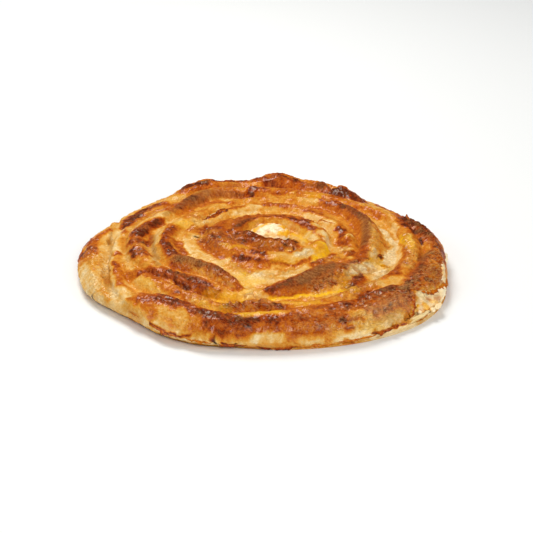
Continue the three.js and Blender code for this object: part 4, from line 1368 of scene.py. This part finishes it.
# Angle and distance of the core
coreRoute = np.array([
    [60, 12], [10, 30], [330, 40], [290, 42], [250, 36], [210, 35], [170, 37], [140, 41], [115, 49],
    [91, 56], [60, 60], [30, 60], [5, 64], [345, 70], [325, 72], [300, 71], [275, 80], [250, 78],
    [232, 71], [205, 77], [180, 76], [150, 69], [120, 69], [90, 74], [60, 82], [30, 88], [0, 86],
    [330, 86], [305, 80], [280, 87], [250, 93], [225, 94], [200, 98], [175, 99], [150, 92],
    [120, 98], [90, 95], [65, 98], [40, 106], [15, 114], [345, 118], [320, 120], [290, 117],
    [255, 115], [228, 109], [205, 113], [180, 114], [155, 111], [135, 114], [115, 122], [90, 124],
    [65, 123], [45, 115], [25, 119], [5, 129], [350, 134], [338, 137], [331, 144],
], float)

# Where small curds lie on the pastry: radius in millimetres, pixels
crumbPaths = [
    (2.2, [(421, 300), (427, 301), (433, 302), (438, 301)]),
    (2.6, [(420, 306), (425, 306), (431, 307), (436, 304)]),
    (1.8, [(418, 312), (423, 312), (428, 311)]),
    (1.6, [(442, 266), (442, 271), (442, 276), (442, 281)]),
]

# Melted butter and baked stains on the cheese: how strong, half width, pixels
cheeseButter = [
    (1.0, 3.2, [(254, 230), (256, 227)]),
    (1.0, 2.6, [(281, 226), (284, 227)]),
    (1.0, 3, [(280, 233), (285, 234), (290, 231)]),
    (1.0, 2.4, [(261, 226), (265, 224), (270, 223)]),
    (0.6, 3, [(268, 234), (274, 235)]),
    (0.8, 1.8, [(287, 229), (290, 233)]),
    (0.3, 7, [(414, 303), (422, 304), (432, 302), (440, 296)]),
    (1.4, 3.4, [(416, 303), (414, 309)]),
    (0.9, 3, [(425, 304), (428, 309), (424, 313)]),
    (0.7, 2.4, [(432, 301), (437, 303)]),
    (0.9, 2, [(418, 317), (424, 318)]),
    (0.6, 3, [(441, 268), (443, 276)]),
    (0.8, 2.4, [(412, 318), (408, 322)]),
]
toasted = [
    (1.0, 1.5, [(268, 230), (269, 231)]),
    (0.6, 1.4, [(273, 223), (277, 223)]),
    (0.8, 2, [(422, 311), (425, 312)]),
    (0.8, 3, [(410, 305), (411, 311), (413, 317)]),
    (1.0, 2, [(429, 314), (432, 312)]),
    (0.8, 2, [(436, 298), (441, 299)]),
    (0.9, 1.6, [(427, 297), (430, 299)]),
    (0.6, 2.4, [(411, 312), (412, 304), (415, 297)]),
    (1.0, 1.6, [(417, 320), (421, 319)]),
]


# Points and triangles of a ball's grid: rows from pole to pole
def ballGrid(rows, columns):
    down = np.linspace(0, np.pi, rows + 1)[1:-1, None]
    turn = np.linspace(0, 2 * np.pi, columns, endpoint=False)[None, :]
    ring = np.stack([np.sin(down) * np.cos(turn), np.sin(down) * np.sin(turn), np.cos(down) + 0 * turn], -1)
    points = np.vstack([ring.reshape(-1, 3), [[0, 0, 1], [0, 0, -1]]])
    number = np.arange(ring[..., 0].size).reshape(rows - 1, columns)
    after = np.roll(number, -1, axis=1)
    faces = cellFaces(number[:-1], number[1:], after[1:], after[:-1])
    faces += [fan(number.size, number[0]), fan(number.size + 1, number[-1, ::-1])]
    return points, np.vstack(faces)


# A lump of curd: a squared ball, whose powers of direction add up to 1, with domes of two sizes on it
def curdLump(at, half, turn, square, seed):
    points, faces = ballGrid(cheese["rows"], cheese["columns"])
    points = points / (abs(points) ** square).sum(axis=1, keepdims=True) ** (1 / square) * half
    x, y, z = points.T
    points = np.column_stack([*turned(x, y, np.radians(turn)), z]) + at
    bent = points + drift(points, cheese["bendSize"], seed + 1)
    depth = cheese["coarse"] * (blisters(bent, cheese["coarseSize"], seed) - 0.5)
    depth += cheese["fine"] * (blisters(bent, cheese["fineSize"], seed + 4) - 0.5)
    depth += cheese["grit"] * softNoise(points, cheese["gritSize"], seed + 5)
    return points + outward(points, faces) * depth[:, None], faces


# The core: an oval section carried along its route, closed at both ends
def cheeseCore():
    travel = clockwiseTravel(coreRoute)
    length = np.cumsum(np.radians(np.diff(travel)) * (coreRoute[1:, 1] + coreRoute[:-1, 1]) / 2)
    count = int(length[-1] / cheese["coreStep"])
    place = np.interp(np.linspace(0, length[-1], count), np.concatenate([[0], length]), travel)
    distance = alongRows(travel, coreRoute[:, 1:], place)
    turn = np.linspace(0, 2 * np.pi, cheese["coreSides"], endpoint=False)[None, :]
    x, y = turned(distance + cheese["coreWidth"] * np.cos(turn), 0, np.radians(-place)[:, None])
    height = np.broadcast_to(cheese["coreCentre"] + cheese["coreHeight"] * np.sin(turn), x.shape)
    points = np.stack([x, y, height], -1).reshape(-1, 3)
    number = np.arange(len(points)).reshape(count, -1)
    after = np.roll(number, -1, axis=1)
    ends = points[number[[0, -1]]].mean(axis=1)
    faces = cellFaces(number[:-1], after[:-1], after[1:], number[1:])
    faces += [fan(len(points), number[0, ::-1]), fan(len(points) + 1, number[-1])]
    return np.vstack([points, ends]), np.vstack(faces)


# Number of the point of the pastry that is nearest to a place
def nearestSkin(place):
    return ((pastryPoints - place) ** 2).sum(axis=1).argmin()


# Small curds along a path on the pie: balls sunk to a share of their size, each with its own size
def smallCurds(radius, pixels, seed):
    rng = np.random.default_rng(seed)
    path = underPixels(pixels)
    steps = lengthsAlong(path)
    places = np.arange(0, steps[-1], radius * cheese["crumbSpacing"])
    centres = alongRows(steps, path, places)
    centres += rng.normal(0, cheese["crumbScatter"], (len(places), 3)) * radius
    ball, faces = ballGrid(cheese["crumbRows"], cheese["crumbColumns"])
    share, clear = cheese["crumbClear"]
    crumbs = []
    for centre, size in zip(centres, radius * rng.uniform(*cheese["crumbSizes"], len(centres))):
        nearest = nearestSkin(centre)
        middle = pastryPoints[nearest] - pastryNormals[nearest] * size * cheese["crumbSunk"]
        middle[2] = max(middle[2], size * share + clear)
        bumps = softNoise(ball * cheese["crumbBumpSize"] + middle, 1, seed + 1)
        bumps = 1 + cheese["crumbBumps"] * bumps[:, None]
        crumbs.append((middle + ball * bumps * size * (1, 1, cheese["crumbFlat"]), faces))
    return crumbs


def cheeseMaterial():
    graph = Graph("white_cheese")
    colour = graph.mix(graph.spread(**cheese["speckles"]), cheese["pale"], cheese["warm"])
    colour = graph.mix(graph.attribute("butter"), colour, cheese["butter"])
    toast = graph.math("MULTIPLY", graph.attribute("toast"), cheese["toastCover"])
    graph.shade("Base Color", graph.mix(toast, colour, cheese["toast"]))
    graph.shade("Roughness", cheese["roughness"])
    graph.bump(graph.noise(**cheese["bumpNoise"]), cheese["bumpStrength"], cheese["bumpDistance"])
    return graph.material


parts = [cheeseCore()]
for number, lump in enumerate(curds.values()):
    parts.append(curdLump(**lump, seed=cheese["seed"] + 10 * number))
for number, (radius, pixels) in enumerate(crumbPaths):
    parts += smallCurds(radius, pixels, cheese["crumbSeed"] + 2 * number)
points, faces = joined(parts)
length, size, seed = cheese["stainWobble"]
stained = points + length * drift(points, size, seed)
curd = addMesh("cheese", points, faces, cheeseMaterial())
addField(curd, "butter", paint(np.zeros(len(points)), stained, cheeseButter, "keep"))
addField(curd, "toast", paint(np.zeros(len(points)), stained, toasted, "keep"))
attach(curd, "root")
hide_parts("cheese_filling")
print("pie: cheese triangles", len(faces))

# Thin skin standing off the pie. Each leaf: width, lift of its free edge, how brown, pixels. Seen from
# outside, it stands to the left of its path, or to the right where the width is below zero.
leaves = [
    (-3.5, 1.2, 0.8, [(151, 323), (158, 327), (166, 331), (174, 334), (182, 336)]),
    (-3.0, 1.0, 0.6, [(184, 337), (193, 338), (203, 340), (213, 342)]),
    (-3.0, 1.0, 0.9, [(218, 343), (226, 344), (235, 345), (246, 346)]),
    (-3.5, 1.2, 0.9, [(256, 347), (266, 348), (276, 348), (286, 347), (297, 347)]),
    (-3.0, 1.0, 0.6, [(300, 347), (312, 346), (324, 344), (336, 342)]),
    (-3.0, 1.0, 0.6, [(338, 341), (350, 339), (364, 336), (378, 333)]),
    (-3.5, 2.0, 0.85, [(374, 331), (382, 330), (390, 327), (396, 325)]),
    (-8.0, 1.6, 0.7, [(414, 290), (420, 290), (427, 289), (434, 287), (440, 283), (446, 278)]),
    (-4.5, 1.8, 0.75, [(409, 319), (412, 311), (411, 303), (411, 296)]),
    (3.0, 2.0, 0.9, [(415, 321), (421, 320), (426, 317), (431, 313), (434, 309)]),
    (2.6, 2.0, 0.8, [(402, 216), (406, 218), (410, 220)]),
    (2.4, 1.8, 0.95, [(419, 226), (423, 229), (427, 232)]),
    (2.4, 1.6, 0.9, [(376, 259), (380, 257), (384, 257)]),
    (-2.2, 0.8, 0.7, [(255, 236), (262, 237), (268, 238)]),
    (-2.2, 0.8, 0.75, [(270, 238), (276, 239), (283, 240)]),
    (-2.2, 0.8, 0.8, [(285, 240), (290, 240), (295, 240)]),
    (2.0, 0.8, 0.55, [(306, 221), (312, 222), (320, 222), (330, 224), (338, 225)]),
    (2.2, 1.4, 0.85, [(206, 220), (213, 217), (220, 213), (227, 210)]),
    (2.2, 1.2, 0.2, [(245, 299), (250, 297), (257, 298)]),
    (2.0, 1.4, 0.7, [(128, 312), (133, 315), (139, 318)]),
]

# How a leaf is made: samples along it and rows across, thickness, and how deep its root lies. Rags
# and curl have a strength and a size, and the speckle a seed as well.
leaf = dict(
    samples=40, rows=6, smoothing=3, thickness=0.35, edgeThinner=0.6, rootDepth=0.5, floorGap=0.05,
    meanWidth=0.75, leastWidth=0.2, mostWidth=1.5,
    longRags=(0.45, 2.6), shortRags=(0.3, 1.3), curl=(0.8, 5),
    rootBrown=0.45, brownPower=0.7, speckle=(0.1, 2, 98), seed=100,
)


# Where a leaf grows: its path, the same path laid on the skin, the direction off the skin as a running
# mean along the path, and the direction to the left of the path
def leafRoot(pixels):
    path = underPixels(pixels)
    steps = lengthsAlong(path)
    path = alongRows(steps, path, np.linspace(0, steps[-1], leaf["samples"]))
    nearest = np.array([nearestSkin(place) for place in path])
    reach = leaf["smoothing"]
    even = np.ones(2 * reach + 1) / (2 * reach + 1)
    rise = np.pad(pastryNormals[nearest], ((reach, reach), (0, 0)), "edge")
    rise = np.column_stack([np.convolve(column, even, "valid") for column in rise.T])
    rise /= np.linalg.norm(rise, axis=1, keepdims=True)
    left = np.cross(rise, np.gradient(path, axis=0))
    left /= np.linalg.norm(left, axis=1, keepdims=True)
    base = path + rise * ((pastryPoints[nearest] - path) * rise).sum(axis=1, keepdims=True)
    return path, base, rise, left


# A leaf: its root lies in the surface, its free edge is ragged and stands off with the square of the
# way out, and a second sheet closes it below. The third value is the way out, from 0 to 1.
def skinLeaf(width, lift, pixels, seed):
    path, base, rise, left = leafRoot(pixels)
    taper = np.sin(np.pi * np.linspace(0, 1, leaf["samples"])) ** 0.5
    long, short, curl = (
        strength * softNoise(path, size, seed + k)
        for k, (strength, size) in enumerate((leaf["longRags"], leaf["shortRags"], leaf["curl"]))
    )
    reach = np.clip(leaf["meanWidth"] + long + short, leaf["leastWidth"], leaf["mostWidth"])
    reach = (width * reach * taper)[:, None, None]
    share = np.linspace(0, 1, leaf["rows"])[None, :, None]
    height = (lift * (1 + curl) * taper)[:, None, None] * share**2 - leaf["rootDepth"] * (1 - share)
    top = base[:, None] + left[:, None] * reach * share + rise[:, None] * height
    top[..., 2] = np.maximum(top[..., 2], leaf["thickness"] + 2 * leaf["floorGap"])
    bottom = top - rise[:, None] * leaf["thickness"] * (1 - leaf["edgeThinner"] * share)
    bottom[..., 2] = np.clip(bottom[..., 2], leaf["floorGap"], top[..., 2] - leaf["floorGap"])
    points = np.concatenate([top.reshape(-1, 3), bottom.reshape(-1, 3)])
    number = np.arange(top[..., 0].size).reshape(leaf["samples"], leaf["rows"])
    faces = cellFaces(number[:-1, :-1], number[1:, :-1], number[1:, 1:], number[:-1, 1:])
    faces += [face[:, ::-1] + number.size for face in faces]
    rim = np.concatenate([number[0, :-1], number[:-1, -1], number[-1, :0:-1], number[:0:-1, 0]])
    after = np.roll(rim, -1)
    faces = np.vstack(faces + cellFaces(rim, after, after + number.size, rim + number.size))
    tilt = outward(points, faces)[:number.size]
    if (tilt * np.repeat(rise, leaf["rows"], axis=0)).sum() < 0:
        faces = faces[:, ::-1]
    return points, faces, np.tile(share.ravel(), 2 * leaf["samples"])


parts, browns = [], []
for number, (width, lift, brown, pixels) in enumerate(leaves):
    points, faces, wayOut = skinLeaf(width, lift, pixels, leaf["seed"] + 3 * number)
    parts.append((points, faces))
    browned = leaf["rootBrown"] + (brown - leaf["rootBrown"]) * wayOut ** leaf["brownPower"]
    browns.append(np.clip(browned, 0, 1))
points, faces = joined(parts)
strength, size, seed = leaf["speckle"]
flakes = addMesh("lifted_skin", points, faces, pastry.data.materials[0])
addField(flakes, "brown", np.concatenate(browns) + strength * softNoise(points, size, seed))
for name in ("butter", "dullSheenAndShade", "burnt", "smearAndHighlight", "crumple"):
    addField(flakes, name, np.zeros(len(points)))
addGrain(flakes, points)
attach(flakes, "root")
print("pie: lifted skin triangles", len(faces))

# Floor and light. A lamp's place and size are metres, its power watts.
studio = dict(
    floorSize=6, floorColour=(0.86, 0.89, 0.94), floorRoughness=0.8,
    worldLight=0.22, lampColour=(1, 0.965, 0.88),
    lamps=dict(
        overhead=dict(place=(-0.35, 0.6, 1.2), size=0.8, power=15.8),
        front=dict(place=(0.3, -1.25, 0.8), size=0.6, power=7.0),
        left=dict(place=(-1.2, -0.5, 1.0), size=0.6, power=4.2),
        right=dict(place=(1.2, -0.8, 0.8), size=0.6, power=7.0),
    ),
)


def addCamera():
    camera = bpy.data.objects.new("camera", bpy.data.cameras.new("camera"))
    camera.location = viewAxes()[2] * mm
    camera.rotation_euler = (np.pi / 2 - np.radians(view["elevation"]), 0, 0)
    camera.data.sensor_width = view["sensor"]
    camera.data.lens = view["focal"] / view["side"] * view["sensor"]
    bpy.context.scene.collection.objects.link(camera)
    bpy.context.scene.camera = camera


# A round lamp that is aimed at the middle of the pie
def addLight(name, place, size, power):
    lamp = bpy.data.lights.new(name, "AREA")
    lamp.shape = "DISK"
    lamp.size = size
    lamp.energy = power
    lamp.color = studio["lampColour"]
    piece = bpy.data.objects.new(name, lamp)
    piece.location = place
    aim = -np.array(place) / np.linalg.norm(place)
    piece.rotation_euler = (np.arccos(-aim[2]), 0, np.arctan2(aim[1], aim[0]) - np.pi / 2)
    bpy.context.scene.collection.objects.link(piece)


def addFloor():
    half = studio["floorSize"] / 2
    corners = [(-half, -half, 0), (half, -half, 0), (half, half, 0), (-half, half, 0)]
    plane = bpy.data.meshes.new("floor")
    plane.from_pydata(corners, [], [(0, 1, 2, 3)])
    graph = Graph("pale_floor")
    graph.shade("Base Color", studio["floorColour"])
    graph.shade("Roughness", studio["floorRoughness"])
    plane.materials.append(graph.material)
    floor = bpy.data.objects.new("floor", plane)
    bpy.context.scene.collection.objects.link(floor)


def addWorld():
    world = bpy.data.worlds.new("studio")
    world.use_nodes = True
    background = world.node_tree.nodes["Background"]
    background.inputs["Color"].default_value = (1, 1, 1, 1)
    background.inputs["Strength"].default_value = studio["worldLight"]
    world.cycles_visibility.glossy = False
    bpy.context.scene.world = world


addCamera()
addFloor()
for name, lamp in studio["lamps"].items():
    addLight(name, **lamp)
addWorld()
bpy.context.scene.view_settings.view_transform = "Standard"
print("pie: camera, floor and lights")
